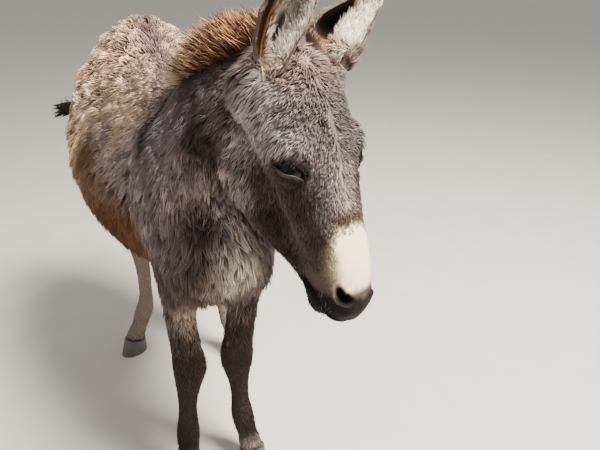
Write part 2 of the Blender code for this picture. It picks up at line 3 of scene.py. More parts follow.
import logging
import math
from collections.abc import Sequence
from dataclasses import dataclass
from enum import Enum

import bmesh
import bpy
import numpy as np
from bpy.types import Material, Mesh, Node, NodeSocket, NodeTree, Object
from mathutils import Matrix, Vector, kdtree, noise


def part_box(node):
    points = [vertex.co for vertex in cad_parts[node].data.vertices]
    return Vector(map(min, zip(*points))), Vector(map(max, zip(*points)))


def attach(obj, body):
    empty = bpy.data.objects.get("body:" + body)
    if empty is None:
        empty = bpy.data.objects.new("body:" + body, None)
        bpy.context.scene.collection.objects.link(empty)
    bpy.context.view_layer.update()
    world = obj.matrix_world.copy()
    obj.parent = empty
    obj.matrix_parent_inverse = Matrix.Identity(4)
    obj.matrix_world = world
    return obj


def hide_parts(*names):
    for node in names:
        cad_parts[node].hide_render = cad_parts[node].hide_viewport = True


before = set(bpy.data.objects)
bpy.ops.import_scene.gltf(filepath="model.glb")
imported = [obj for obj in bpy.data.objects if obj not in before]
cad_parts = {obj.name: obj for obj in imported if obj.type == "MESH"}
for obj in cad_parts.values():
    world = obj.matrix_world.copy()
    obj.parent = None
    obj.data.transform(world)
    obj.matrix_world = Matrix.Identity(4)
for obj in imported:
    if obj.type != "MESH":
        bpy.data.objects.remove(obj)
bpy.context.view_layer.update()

BODY = "root"
MILLIMETRES = 1000  # to the metre
log = logging.getLogger("donkey")
Array = np.ndarray
Chance = np.random.Generator
Triple = tuple[float, float, float]
Pair = tuple[float, float]

# The head's own frame: the poll, the run of the face, and the way out of the forehead.
EYE_PLACE = np.array((0.178, -0.034, 0.081))
FACE_RUN = np.array((0.12, -0.4, -0.91))
FOREHEAD_OUT = np.array((0.48, -0.78, 0.4))
POLL = np.array((0.15, -0.3, 1.11))
FLESH = ("head", "neck", "trunk", "foreleg_left", "foreleg_right", "hindleg_left", "hindleg_right", "tail")
EARS = ("ear_left", "ear_right")
PARTS = FLESH + EARS
HEAD = PARTS.index("head")

EAR_LENGTH = 0.235
EAR_SHARES = (0, 0.1, 0.25, 0.45, 0.65, 0.82, 0.94, 1)
EAR_HALF_WIDTHS = (0.03, 0.034, 0.042, 0.043, 0.038, 0.028, 0.014, 0.006)
EAR_WHITE = (0.98, 0.86, 0.7)
EAR_GREY = (0.42, 0.32, 0.26)
EAR_ORANGE = (0.75, 0.36, 0.13)
# EAR_DARK is the ear's dark band; where it covers much of the left ear's hollow it is also painted shadow
# cast by the rim.
EAR_DARK = (0.02, 0.011, 0.008)
MANE_DARK = np.array((0.03, 0.014, 0.009))
MANE_GINGER = np.array((0.8, 0.38, 0.17))
MANE_PALE = np.array((1.0, 0.88, 0.66))
EVEN = (1, 1, 1)


def unit(rows: Array) -> Array:
    """The same vectors with a length of one."""
    return rows / np.maximum(np.linalg.norm(rows, axis=-1, keepdims=True), 1e-9)


def smooth_step(low: float, high: float, values: Array) -> Array:
    """A soft rise from 0 at low to 1 at high."""
    share = np.clip((values - low) / (high - low), 0.0, 1.0)
    return share * share * (3 - 2 * share)


def between(start: float, full: float, fade: float, end: float, values: Array) -> Array:
    """A soft rise from start to full, and a soft fall from fade to end."""
    return smooth_step(start, full, values) * smooth_step(end, fade, values)


def hump(values: Array, width: float, power: int = 2) -> Array:
    """1 where the values are 0, and next to nothing at twice the width."""
    return np.exp(-((values / width) ** power))


def search_tree(places: Sequence) -> kdtree.KDTree:
    """A search tree that gives the number of the nearest place."""
    tree = kdtree.KDTree(len(places))
    for number, place in enumerate(places):
        tree.insert(place, number)
    tree.balance()
    return tree


class Hair(Enum):
    """The colours of a patch of coat, in thousandths: at the roots and at the tips. The darker roots are
    partly the hair's own dark base and partly painted shade deep in the coat.
    """

    POLL = ((76, 45, 34), (563, 383, 304))
    FOREHEAD = ((48, 34, 29), (324, 262, 228))
    BROW = ((92, 71, 63), (572, 506, 493))
    TEMPLE = ((66, 50, 47), (525, 466, 503))
    # Painted shade: CHEEK is the grey of the face made far darker, as the shaded sides of the face.
    CHEEK = ((18, 12, 12), (58, 41, 41))
    FRINGE = ((45, 33, 31), (420, 340, 358))
    # Painted shade: JAW is made near black, as the shaded underside of the jaw.
    JAW = ((10, 6, 6), (32, 21, 21))
    # Painted light: BRIDGE is the grey of the face made much lighter, as the lit plane and edge highlight of
    # the nose.
    BRIDGE = ((115, 84, 72), (604, 475, 409))
    # Painted shade: NOSE_SIDE is made dark, as the shaded sides of the nose.
    NOSE_SIDE = ((23, 16, 16), (102, 74, 75))
    CURLS = ((50, 27, 20), (320, 200, 150))
    CREAM = ((940, 730, 450), (1000, 840, 550))
    SMOKE = ((50, 32, 28), (170, 110, 88))
    BLACK = ((5, 4, 4), (12, 9, 8))
    CHIN = ((10, 7, 6), (60, 43, 34))
    # Painted light: THROAT is made very pale, standing for light thrown up from the ground into the shade
    # under the head.
    THROAT = ((143, 105, 95), (968, 727, 669))
    # Painted shade: NECK is made near black, as the deep shade between the cheek and the neck.
    NECK = ((9, 6, 6), (48, 34, 34))
    SHOULDER = ((41, 28, 28), (237, 184, 198))
    # CHEST is partly its own darker brown and partly painted shade on the front of the chest.
    CHEST = ((21, 14, 13), (109, 73, 67))
    BIB = ((172, 125, 97), (950, 833, 696))
    BACK = ((126, 76, 56), (997, 662, 462))
    CROUP = ((75, 39, 26), (920, 620, 410))
    RUMP = ((85, 42, 26), (1000, 720, 470))
    RIBS = ((61, 38, 31), (386, 325, 333))
    FLANK = ((28, 12, 7), (149, 63, 29))
    BELLY = ((26, 10, 4), (113, 35, 11))
    THIGH = ((63, 33, 20), (431, 276, 184))
    LEG = ((20, 14, 12), (58, 42, 36))
    KNEE = ((12, 8, 7), (36, 25, 22))
    SHIN = ((150, 112, 88), (460, 350, 280))
    INSIDE = ((130, 95, 70), (460, 360, 280))
    TAIL = ((10, 7, 6), (30, 21, 18))
    CREST = ((13, 8, 8), (53, 37, 36))
    SLATE = ((32, 23, 22), (223, 177, 167))
    MAUVE = ((60, 34, 30), (320, 205, 180))
    EAR_BACK = ((60, 34, 24), (300, 200, 150))

    @property
    def colours(self) -> Array:
        """The colour at the roots and the colour at the tips."""
        return np.array(self.value) / 1000


@dataclass(frozen=True)
class Spot:
    """How the coat lies and looks at one place, in millimetres, with its lift as a sine."""

    place: Triple
    way: Triple
    depth: float
    length: float
    width: float
    lift: float
    wave: float
    hair: Hair
    both: bool = True

    def rows(self, axis: int) -> list[Array]:
        """The spot as rows of numbers: its own and, where it is on both sides, its mirror image's.

        Args:
            axis: which coordinate turns over on the other side.

        Returns:
            Rows of place, way, the five measures and the two colours.
        """
        depth, length, width, wave = np.array((self.depth, self.length, self.width, self.wave)) / MILLIMETRES
        measures = (depth, length, width, self.lift, wave)
        place = np.array(self.place) / MILLIMETRES
        turned = np.ones(3)
        turned[axis] = -1
        return [
            np.concatenate((place * side, unit(self.way * side), measures, *self.hair.colours))
            for side in (np.ones(3), turned)[: 1 + self.both]
        ]


# Along the face from the poll, out of it, and to the left.
HEAD_SPOTS = tuple(Spot(*row) for row in (
    ((-20, -10, 0), (-0.8, 0.4, 0.4), 20, 38, 2.3, 0.45, 2, Hair.POLL),
    ((-20, -60, 85), (0.5, -0.8, 0.3), 10, 31, 2.3, 0.35, 2, Hair.POLL),
    ((30, 12, 8), (0.3, 0.4, 0.85), 13, 22, 2.3, 0.8, 2.2, Hair.POLL),
    ((40, 4, 60), (0.1, -0.1, 1), 11, 21, 2.3, 0.48, 2.4, Hair.POLL),
    ((85, 22, 8), (0.4, 0.3, 0.85), 10, 17, 2.3, 0.75, 2, Hair.FOREHEAD),
    ((85, 10, 65), (0.32, -0.1, 0.95), 10, 20, 2.3, 0.45, 2.4, Hair.FOREHEAD),
    ((125, 20, 8), (0.45, 0.2, 0.85), 8, 15, 2.3, 0.65, 2.4, Hair.FOREHEAD),
    ((125, 8, 70), (0.38, -0.15, 0.95), 9, 18, 2.3, 0.45, 2.4, Hair.FOREHEAD),
    ((60, -50, 110), (0.35, -0.85, 0.35), 9, 20, 2.3, 0.4, 1.4, Hair.BROW),
    ((140, -20, 105), (0.42, -0.7, 0.55), 8, 19, 2.3, 0.5, 1.4, Hair.BROW),
    ((178, -34, 95), (0.6, -0.55, 0.4), 2.5, 8, 1.4, 0.3, 0.4, Hair.CHEEK),
    ((175, 5, 50), (0.55, -0.2, 0.8), 6, 15, 2.2, 0.4, 1, Hair.FOREHEAD),
    ((95, -100, 108), (0.55, -0.8, 0.2), 8, 20, 2.3, 0.4, 1.6, Hair.TEMPLE),
    ((120, -135, 88), (0.5, -0.85, 0.1), 8, 20, 2.3, 0.4, 1.6, Hair.TEMPLE),
    ((150, -155, 78), (0.55, -0.8, 0.1), 8, 22, 2.8, 0.38, 1.6, Hair.SLATE),
    ((180, -110, 80), (0.75, -0.65, 0), 7, 19, 2.6, 0.38, 1.4, Hair.CHEEK),
    ((64, -215, 98), (0.75, -0.6, -0.1), 10, 30, 3.2, 0.36, 2.2, Hair.NECK),
    ((117, -238, 76), (0.75, -0.6, -0.1), 10, 30, 3.2, 0.36, 2.2, Hair.NECK),
    ((155, -218, 62), (0.75, -0.6, -0.1), 10, 28, 3, 0.36, 2, Hair.THROAT),
    ((180, -190, 55), (0.8, -0.55, -0.1), 8, 22, 2.3, 0.4, 1.8, Hair.FRINGE),
    ((200, -200, 0), (0.8, -0.6, 0), 8, 26, 2.8, 0.45, 1.8, Hair.JAW),
    ((60, -150, 92), (0.2, -0.95, 0.25), 10, 28, 2.3, 0.5, 1.8, Hair.SLATE),
    ((26, -78, 118), (0.4, -0.85, 0.3), 9, 26, 2.3, 0.4, 1.8, Hair.SLATE),
    ((24, -146, 78), (0.5, -0.85, 0.2), 9, 30, 2.8, 0.4, 2, Hair.SLATE),
    ((120, -160, 80), (0.35, -0.9, 0.15), 9, 24, 2.3, 0.5, 1.8, Hair.FRINGE),
    ((100, -186, 86), (0.5, -0.8, 0.05), 9, 24, 2.6, 0.42, 1.8, Hair.NECK),
    ((131, -228, 60), (0.75, -0.6, -0.1), 10, 28, 3, 0.36, 2, Hair.NECK),
    ((175, -205, 45), (0.55, -0.8, 0.05), 8, 24, 2.6, 0.5, 1.6, Hair.CHEEK),
    ((250, -130, 55), (0.85, -0.5, 0), 6, 15, 2.2, 0.36, 1, Hair.JAW),
    ((160, 12, 10), (0.45, 0.1, 0.9), 7, 15, 2.3, 0.5, 1.2, Hair.FOREHEAD),
    ((213, -28, 82), (0.9, -0.3, 0.1), 5, 13, 2, 0.32, 0.8, Hair.CHEEK),
    ((250, -38, 76), (0.9, -0.35, 0), 5, 13, 2, 0.32, 0.8, Hair.CHEEK),
    ((218, -10, 56), (0.6, 0, 0.75), 6, 15, 2.2, 0.38, 1, Hair.SLATE),
    ((232, -21, 71), (0.85, -0.2, 0.3), 5, 13, 2, 0.32, 0.8, Hair.CHEEK),
    ((295, -34, 65), (0.95, -0.25, 0.1), 4.5, 11, 1.8, 0.32, 0.6, Hair.CHEEK),
    ((258, -15, 50), (0.75, 0, 0.6), 6, 14, 2, 0.4, 1, Hair.SLATE),
    ((215, 3, 10), (0.6, 0.1, 0.8), 6, 14, 2.2, 0.38, 1, Hair.BRIDGE),
    ((225, -20, 60), (0.8, -0.35, 0.45), 5, 13, 2, 0.36, 0.8, Hair.NOSE_SIDE),
    ((255, 0, 12), (0.75, 0.1, 0.65), 6, 14, 2, 0.42, 1.4, Hair.BRIDGE),
    ((275, -4, 15), (0.9, 0, 0.4), 6, 12, 2, 0.5, 2.2, Hair.CURLS),
    ((275, -40, 58), (0.9, -0.3, 0.25), 4.5, 11, 1.8, 0.34, 0.6, Hair.NOSE_SIDE),
    ((310, -4, 10), (0.98, 0, 0.15), 3.5, 8, 1.6, 0.3, 0.4, Hair.CREAM),
    ((360, -8, 10), (1, 0, 0.1), 2.2, 6.5, 1.3, 0.3, 0.2, Hair.CREAM),
    ((330, -70, 52), (0.95, -0.25, 0.05), 4, 10, 1.7, 0.32, 0.5, Hair.NOSE_SIDE),
    ((370, -75, 45), (0.95, -0.25, 0), 2.5, 6, 1.3, 0.3, 0.3, Hair.SMOKE),
    ((405, -20, 10), (1, 0, 0.05), 1.4, 5.5, 1.2, 0.28, 0.1, Hair.SMOKE),
    ((425, -60, 40), (1, -0.1, 0), 1, 5, 1.1, 0.28, 0.1, Hair.BLACK),
    ((320, -135, 25), (0.85, -0.5, 0), 6, 16, 2, 0.42, 1, Hair.JAW),
    ((400, -125, 15), (0.85, -0.5, 0), 3.5, 10, 1.6, 0.5, 0.8, Hair.CHIN),
))
# Across from the middle, from front to rear, and up.
BODY_SPOTS = tuple(Spot(*row) for row in (
    ((15, 20, 1035), (0.15, 1, -0.2), 15, 34, 3.5, 0.42, 3, Hair.BACK),
    ((15, 250, 1045), (0.2, 1, -0.05), 15, 36, 3.5, 0.4, 3.4, Hair.BACK),
    ((15, 450, 1110), (0.25, 1, -0.2), 16, 38, 3.6, 0.42, 6.2, Hair.CROUP),
    ((15, 600, 1040), (0.1, 0.6, -0.85), 15, 36, 3.5, 0.38, 6.2, Hair.CROUP),
    ((110, 300, 1020), (0.35, 1, -0.45), 18, 54, 3.5, 0.36, 8.5, Hair.CROUP),
    ((120, 450, 1030), (0.35, 1, -0.5), 18, 54, 3.5, 0.36, 8.5, Hair.CROUP),
    ((180, 350, 940), (0.15, 1, -0.45), 18, 54, 3.5, 0.36, 8.5, Hair.RUMP),
    ((130, 620, 900), (-0.1, 0.5, -0.95), 15, 38, 3.6, 0.36, 6.2, Hair.RUMP),
    ((180, 480, 820), (0, 0.5, -0.9), 15, 38, 3.6, 0.36, 3.6, Hair.THIGH),
    ((90, 130, 1000), (0.4, 0.9, -0.5), 16, 38, 3.6, 0.42, 4.2, Hair.BACK),
    ((160, 150, 920), (0.2, 0.8, -0.75), 16, 40, 3.6, 0.4, 4.4, Hair.RIBS),
    ((225, 200, 850), (0, 0.6, -0.85), 17, 42, 3.7, 0.38, 4.4, Hair.FLANK),
    ((205, 280, 720), (0, 0.3, -1), 17, 48, 3.7, 0.32, 4, Hair.FLANK),
    ((190, 120, 680), (-0.05, 0.2, -1), 17, 48, 3.7, 0.32, 4, Hair.FLANK),
    ((100, 120, 570), (-0.15, 0.4, -0.85), 18, 52, 4, 0.4, 4, Hair.BELLY),
    ((0, 120, 550), (0, 0.8, -0.6), 16, 44, 3.7, 0.4, 3.6, Hair.BELLY),
    ((155, 0, 860), (0.05, 0.6, -0.9), 15, 38, 3.5, 0.38, 3.6, Hair.RIBS),
    ((150, 20, 720), (0, 0.3, -1), 16, 44, 3.6, 0.34, 3.6, Hair.FLANK),
    ((80, -20, 990), (0.45, 0.5, -0.9), 14, 34, 3.2, 0.4, 3, Hair.SHOULDER),
    ((125, -90, 900), (0.1, 0.4, -1), 14, 34, 3.2, 0.38, 3, Hair.SHOULDER),
    ((125, -130, 760), (0, 0.2, -1), 14, 34, 3.2, 0.36, 3, Hair.SHOULDER),
    ((110, -130, 620), (0, 0.1, -1), 12, 30, 3.6, 0.36, 2.4, Hair.CHEST),
    ((0, -240, 780), (0, -0.1, -1), 15, 40, 3.2, 0.36, 3, Hair.CHEST),
    ((35, -205, 790), (0, 0.1, -1), 13, 36, 3.6, 0.34, 3, Hair.THROAT, False),
    ((25, -250, 730), (0, -0.1, -1), 15, 42, 3.2, 0.36, 3.4, Hair.BIB, False),
    ((-45, -245, 720), (0, -0.1, -1), 15, 40, 3.2, 0.36, 3.4, Hair.CHEST, False),
    ((100, -230, 690), (0, -0.1, -1), 28, 34, 3.2, 0.28, 3, Hair.CHEST, False),
    ((75, -240, 640), (0, -0.1, -1), 22, 34, 3.2, 0.28, 3, Hair.CHEST, False),
    ((-80, -220, 660), (0, -0.1, -1), 14, 38, 3.2, 0.36, 3.4, Hair.CHEST, False),
    ((0, -190, 590), (0, 0.3, -1), 13, 36, 3.2, 0.36, 3, Hair.CHEST),
    ((85, -200, 740), (0.05, 0, -1), 14, 36, 3.2, 0.36, 3, Hair.CHEST),
    ((60, -120, 960), (0.35, 0.5, -0.95), 13, 38, 3.2, 0.4, 3, Hair.SHOULDER),
    ((70, -180, 900), (0.15, 0.35, -1), 13, 40, 3.2, 0.38, 3.2, Hair.SHOULDER),
    ((50, -187, 945), (0.2, 0.35, -1), 13, 38, 3, 0.38, 3, Hair.SHOULDER),
    ((83, -189, 740), (0.05, 0.1, -1), 14, 36, 3.2, 0.36, 3, Hair.SHOULDER),
    # Painted shadow under the cheek: the darkest neck hair laid on the front of the chest.
    ((-20, -205, 782), (0, 0.1, -1), 13, 36, 3.2, 0.34, 3, Hair.NECK, False),
    ((48, -246, 685), (0, -0.1, -1), 15, 42, 3.2, 0.36, 3.4, Hair.BIB, False),
    ((141, 207, 950), (0.3, 1, -0.5), 18, 50, 3.5, 0.36, 8, Hair.RUMP),
    ((122, 121, 940), (0.3, 0.9, -0.6), 17, 44, 3.5, 0.38, 6, Hair.RUMP),
    ((208, 275, 868), (0.05, 0.7, -0.75), 17, 44, 3.6, 0.36, 5, Hair.RUMP),
    ((60, -180, 1040), (0.4, 0.5, -0.9), 13, 40, 3.2, 0.42, 3, Hair.CREST),
    ((30, -230, 850), (0.1, 0.1, -1), 13, 40, 3.2, 0.38, 3.2, Hair.THROAT),
    ((0, 40, 1030), (0.6, 0.5, -0.6), 5, 30, 3.6, 0.4, 3, Hair.SHOULDER, False),
    ((-4, -24, 1022), (0.5, 0.5, -0.6), 3, 28, 3.6, 0.4, 3, Hair.SHOULDER, False),
    ((8, -107, 1044), (0.5, 0.5, -0.6), 3, 28, 3.6, 0.4, 3, Hair.CREST, False),
    ((55, -184, 1080), (0.5, 0.5, -0.6), 3, 28, 3.6, 0.4, 3, Hair.CREST, False),
    ((96, -227, 1102), (0.5, 0.5, -0.6), 4, 26, 3.4, 0.4, 2.6, Hair.CREST, False),
    ((105, -90, 570), (0.05, 0.1, -1), 12, 34, 3.6, 0.34, 2.4, Hair.CHEST),
    ((105, -90, 500), (0.05, 0.1, -1), 10, 30, 3.4, 0.34, 2.2, Hair.CHEST),
    ((55, -90, 500), (0, 0.1, -1), 10, 28, 3.2, 0.34, 2.2, Hair.SHIN),
    ((95, -90, 440), (0, 0.1, -1), 7, 20, 2.8, 0.34, 1.4, Hair.LEG),
    ((95, -120, 400), (0, 0, -1), 5, 13, 1.7, 0.2, 0.8, Hair.LEG),
    ((95, -125, 340), (0, 0, -1), 4, 11, 1.7, 0.2, 0.6, Hair.KNEE),
    ((95, -90, 200), (0, 0, -1), 4, 11, 1.7, 0.2, 0.6, Hair.LEG),
    ((95, -80, 100), (0, 0.1, -1), 5, 14, 1.7, 0.2, 1, Hair.KNEE),
    ((95, -100, 55), (0, -0.2, -1), 4, 12, 1.7, 0.2, 0.6, Hair.SHIN),
    ((150, 480, 640), (0, 0.4, -0.95), 12, 32, 3.8, 0.34, 2.6, Hair.THIGH),
    ((60, 450, 620), (0, 0.3, -0.95), 10, 26, 3.4, 0.34, 2, Hair.INSIDE),
    ((120, 480, 500), (0, 0.2, -1), 8, 20, 2.8, 0.32, 1.4, Hair.SHIN),
    ((120, 540, 340), (0, 0.1, -1), 5, 13, 1.7, 0.2, 0.8, Hair.SHIN),
    ((120, 500, 200), (0, 0, -1), 4, 11, 1.7, 0.2, 0.6, Hair.SHIN),
    ((120, 500, 80), (0, -0.1, -1), 5, 14, 1.7, 0.2, 1, Hair.SHIN),
    ((120, 300, 300), (0, 0, -1), 5, 13, 1.7, 0.2, 0.8, Hair.SHIN),
    ((160, 330, 560), (0, 0.2, -1), 11, 30, 3.6, 0.34, 2.4, Hair.THIGH),
))


@dataclass(frozen=True)
class EarPlan:
    """How one ear stands on the head, and how its colours lie across it.

    Its stripes are where the white ends, the orange lies and the dark begins.
    Each row of its edges is a share of its length and where its two sides lie there.
    """

    root: Triple
    run: Triple
    opening: Triple
    slit: float
    stripes: Triple
    drift: float
    edges: tuple[Triple, ...]


EAR_PLANS = {
    "ear_left": EarPlan(
        root=(0.004, -0.036, 0.102), run=(0.42, -0.115, 0.9), opening=(-0.42, -0.9, -0.08),
        slit=0.35, stripes=(-0.14, 0.02, 0.17), drift=1.4,
        edges=(
            (-0.1, -0.036, 0.034), (0.0, -0.042, 0.042), (0.09, -0.049, 0.055), (0.18, -0.053, 0.061),
            (0.28, -0.049, 0.05), (0.37, -0.047, 0.031), (0.46, -0.0465, 0.014), (0.6, -0.044, 0.01),
            (0.8, -0.036, 0.002), (0.94, -0.028, -0.008), (1.0, -0.023, -0.013),
        ),
    ),
    "ear_right": EarPlan(
        root=(0.026, -0.034, -0.062), run=(0.15, -0.26, 0.955), opening=(-0.3, -0.95, 0.0),
        slit=0.05, stripes=(0.34, 0.46, 0.6), drift=0.0,
        edges=(
            (-0.1, -0.014, 0.028), (0.03, -0.018, 0.033), (0.2, -0.027, 0.041), (0.38, -0.04, 0.04),
            (0.53, -0.043, 0.031), (0.7, -0.038, 0.026), (0.85, -0.026, 0.018), (0.94, -0.015, 0.011),
            (1.0, -0.007, 0.005),
        ),
    ),
}


@dataclass(frozen=True)
class HeadPose:
    """The head's own frame: along the face, out of the forehead, and to the left."""

    axes: Array
    shift: Array

    @staticmethod
    def found() -> "HeadPose":
        """The pose, placed by the middle of the left eye's node."""
        run = unit(FACE_RUN)
        out = unit(FOREHEAD_OUT - run * (FOREHEAD_OUT @ run))
        axes = np.stack((run, out, np.cross(out, run)))
        low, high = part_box("eye_left")
        return HeadPose(axes, np.array((low + high) / 2) - POLL - EYE_PLACE @ axes)

    def place(self, rows: Array) -> Array:
        """Points of the model, from points of the head."""
        return np.asarray(rows) @ self.axes + POLL + self.shift

    def turn(self, rows: Array) -> Array:
        """Directions of the model, from directions of the head."""
        return np.asarray(rows) @ self.axes

    def inward(self, rows: Array) -> Array:
        """Points of the head, from points of the model."""
        return (rows - POLL - self.shift) @ self.axes.T


@dataclass(frozen=True)
class EarPose:
    """The frame of one ear: across it, out of its opening, and along it."""

    root: Array
    axes: Array
    plan: EarPlan
    hollow: float = 0.016
    lip: float = 0.012
    drift_from: float = 0.26
    drift_span: float = 0.3

    @staticmethod
    def found(head: HeadPose, plan: EarPlan) -> "EarPose":
        """The frame of the ear that stands on the head as its plan says."""
        along, opening = unit(np.array(plan.run)), np.array(plan.opening)
        out = unit(opening - along * (opening @ along))
        axes = np.stack((np.cross(out, along), out, along))
        return EarPose(head.place(np.array(plan.root)), axes, plan)

    def span(self, share: Array) -> tuple[Array, Array]:
        """The middle and the half width of the skin's ear at each share of its length."""
        at, low, high = np.array(self.plan.edges).T
        low, high = np.interp(share, at, low), np.interp(share, at, high)
        return (low + high) / 2, (high - low) / 2

    @staticmethod
    def half(share: Array) -> Array:
        """The half width of the ear's node at each share of its length."""
        return np.interp(share, EAR_SHARES, EAR_HALF_WIDTHS)

    def inward(self, rows: Array) -> Array:
        """Points of the ear, from points of the model."""
        return (rows - self.root) @ self.axes.T

    def survey(self, shell: "Shell") -> tuple[Array, Array, Array]:
        """Where points lie on the ear.

        Args:
            shell: the points and their normals.

        Returns:
            The share of the half width across, the share of the length, and whether a point faces the hollow.
        """
        side, out, along = self.inward(shell.points).T
        share = along / EAR_LENGTH
        mid, half = self.span(share)
        across = (side - mid) / half
        facing = shell.normals @ self.axes.T
        towards = (side - mid) * facing[:, 0] + (out - self.hollow) * facing[:, 1]
        return across, share, towards < -0.002 + self.lip * smooth_step(0.5, 0.9, across)

    def bands(self, across: Array, share: Array) -> Array:
        """The colour inside the ear at each share of its width and its length; its dark band is partly the
        ear's own dark hair and partly painted shadow of the rim.
        """
        edges = (-1.0, -0.85, *self.plan.stripes, 1.0, 1.12)
        colours = (EAR_GREY, EAR_WHITE, EAR_WHITE, EAR_ORANGE, EAR_DARK, EAR_DARK, EAR_GREY)
        across = across - self.plan.drift * (share - self.drift_from).clip(0, self.drift_span)
        paint = np.stack([np.interp(across, edges, row) for row in np.array(colours).T], axis=1)
        low = smooth_step(0.14, 0.02, share)[:, None] * (across > 0.2)[:, None]
        return paint + (np.array(EAR_ORANGE) * 1.1 - paint) * low * 0.8


@dataclass(frozen=True)
class Roots:
    """Places on a shell: the corners of the triangle that each is on, and its share of each corner."""

    corners: Array
    shares: Array

    def at(self, values: Array) -> Array:
        """The value at every root, from one row for each point of the shell."""
        rows = values[self.corners]
        return (rows * self.shares.reshape(rows.shape[:2] + (1,) * (rows.ndim - 2))).sum(1)


@dataclass
class Shell:
    """A mesh held as arrays, for moving its points in one go."""

    points: Array
    faces: Array
    normals: Array
    edges: Array

    @staticmethod
    def read(mesh: Mesh) -> "Shell":
        """The points, triangles, normals and edges of a mesh."""
        mesh.calc_loop_triangles()
        sources = (
            (mesh.vertices, "co", 3, float), (mesh.loop_triangles, "vertices", 3, int),
            (mesh.vertices, "normal", 3, float), (mesh.edges, "vertices", 2, int),
        )
        arrays = []
        for items, label, width, kind in sources:
            array = np.empty(len(items) * width, kind)
            items.foreach_get(label, array)
            arrays.append(array.reshape(-1, width))
        return Shell(*arrays)

    def spread(self, values: Array, rounds: int, share: Array | float = 0.5) -> Array:
        """Values evened out between neighbouring points.

        Args:
            values: one row for each point.
            rounds: how many times they are evened.
            share: how far each moves to the mean of its neighbours.

        Returns:
            The evened values.
        """
        flat = values.reshape(len(self.points), -1).copy()
        one, two = self.edges.T
        size = len(flat)
        count = np.bincount(self.edges.ravel(), minlength=size).clip(1)
        part = share[:, None] if isinstance(share, Array) else share
        for _ in range(rounds):
            sums = [np.bincount(one, col[two], size) + np.bincount(two, col[one], size) for col in flat.T]
            flat += (np.stack(sums, axis=1) / count[:, None] - flat) * part
        return flat.reshape(values.shape)

    def sizes(self, faces: Array) -> Array:
        """Twice the area of each of these triangles."""
        corners = self.points[faces]
        return np.linalg.norm(np.cross(corners[:, 1] - corners[:, 0], corners[:, 2] - corners[:, 0]), axis=1)

    def sown(self, faces: Array, count: int, random: Chance) -> Roots:
        """Roots scattered over these triangles by their area."""
        size = self.sizes(faces)
        chosen = random.choice(len(size), count, p=size / size.sum())
        return Roots(faces[chosen], random.dirichlet(EVEN, count))


class Maker:
    """Turns shapes into objects of the scene."""

    @staticmethod
    def hang(name: str, data: bpy.types.ID) -> Object:
        """A new object of that mesh, curve, lamp or camera in the scene."""
        thing = bpy.data.objects.new(name, data)
        bpy.context.scene.collection.objects.link(thing)
        return thing

    @staticmethod
    def pour(name: str, shape: bmesh.types.BMesh) -> Mesh:
        """A new mesh from a working shape, which is then let go."""
        mesh = bpy.data.meshes.new(name)
        shape.to_mesh(mesh)
        shape.free()
        return mesh

    @staticmethod
    def settled(thing: Object) -> Mesh:
        """The object's mesh with its modifiers or its bevel worked into it."""
        graph = bpy.context.evaluated_depsgraph_get()
        return bpy.data.meshes.new_from_object(thing.evaluated_get(graph))

    @staticmethod
    def settle(thing: Object) -> None:
        """Makes the object's modifiers part of its mesh."""
        mesh = Maker.settled(thing)
        thing.modifiers.clear()
        thing.data = mesh

    @staticmethod
    def cover(mesh: Mesh, material: Material) -> None:
        """Gives every face of the mesh one material."""
        mesh.materials.clear()
        mesh.materials.append(material)
        mesh.polygons.foreach_set("material_index", np.zeros(len(mesh.polygons), np.int32))

    @staticmethod
    def smooth(mesh: Mesh) -> None:
        """Gives every face of the mesh a smooth look."""
        mesh.polygons.foreach_set("use_smooth", np.ones(len(mesh.polygons), bool))

    @staticmethod
    def cast(name: str, nodes: tuple[str, ...], voxel: float, push: float, rounds: int) -> Object:
        """One closed shape cast from CAD nodes.

        Args:
            name: the new object's name.
            nodes: the CAD nodes that it is cast from.
            voxel: the grid of the cast.
            push: how far each node grows first, so that neighbours meet.
            rounds: how many times the cast is evened.

        Returns:
            The new object.
        """
        shape = bmesh.new()
        for node in nodes:
            shape.from_mesh(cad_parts[node].data)
        bmesh.ops.remove_doubles(shape, verts=shape.verts, dist=1e-5)
        shape.normal_update()
        for corner in shape.verts:
            corner.co += corner.normal * push
        thing = Maker.hang(name, Maker.pour(name, shape))
        grid = thing.modifiers.new("grid", "REMESH")
        grid.mode, grid.voxel_size = "VOXEL", voxel
        Maker.settle(thing)
        shell = Shell.read(thing.data)
        Maker.move(thing, shell.spread(shell.points, rounds))
        return thing

    @staticmethod
    def move(thing: Object, points: Array) -> None:
        """Sets the points of the object's mesh."""
        thing.data.vertices.foreach_set("co", np.ascontiguousarray(points, np.float32).ravel())
        thing.data.update()

    @staticmethod
    def join(thing: Object, other: Object, how: str) -> None:
        """Unites the object with another, or takes the other out of it."""
        step = thing.modifiers.new("join", "BOOLEAN")
        step.operation, step.object, step.solver = how, other, "MANIFOLD"
        Maker.settle(thing)
        bpy.data.objects.remove(other)


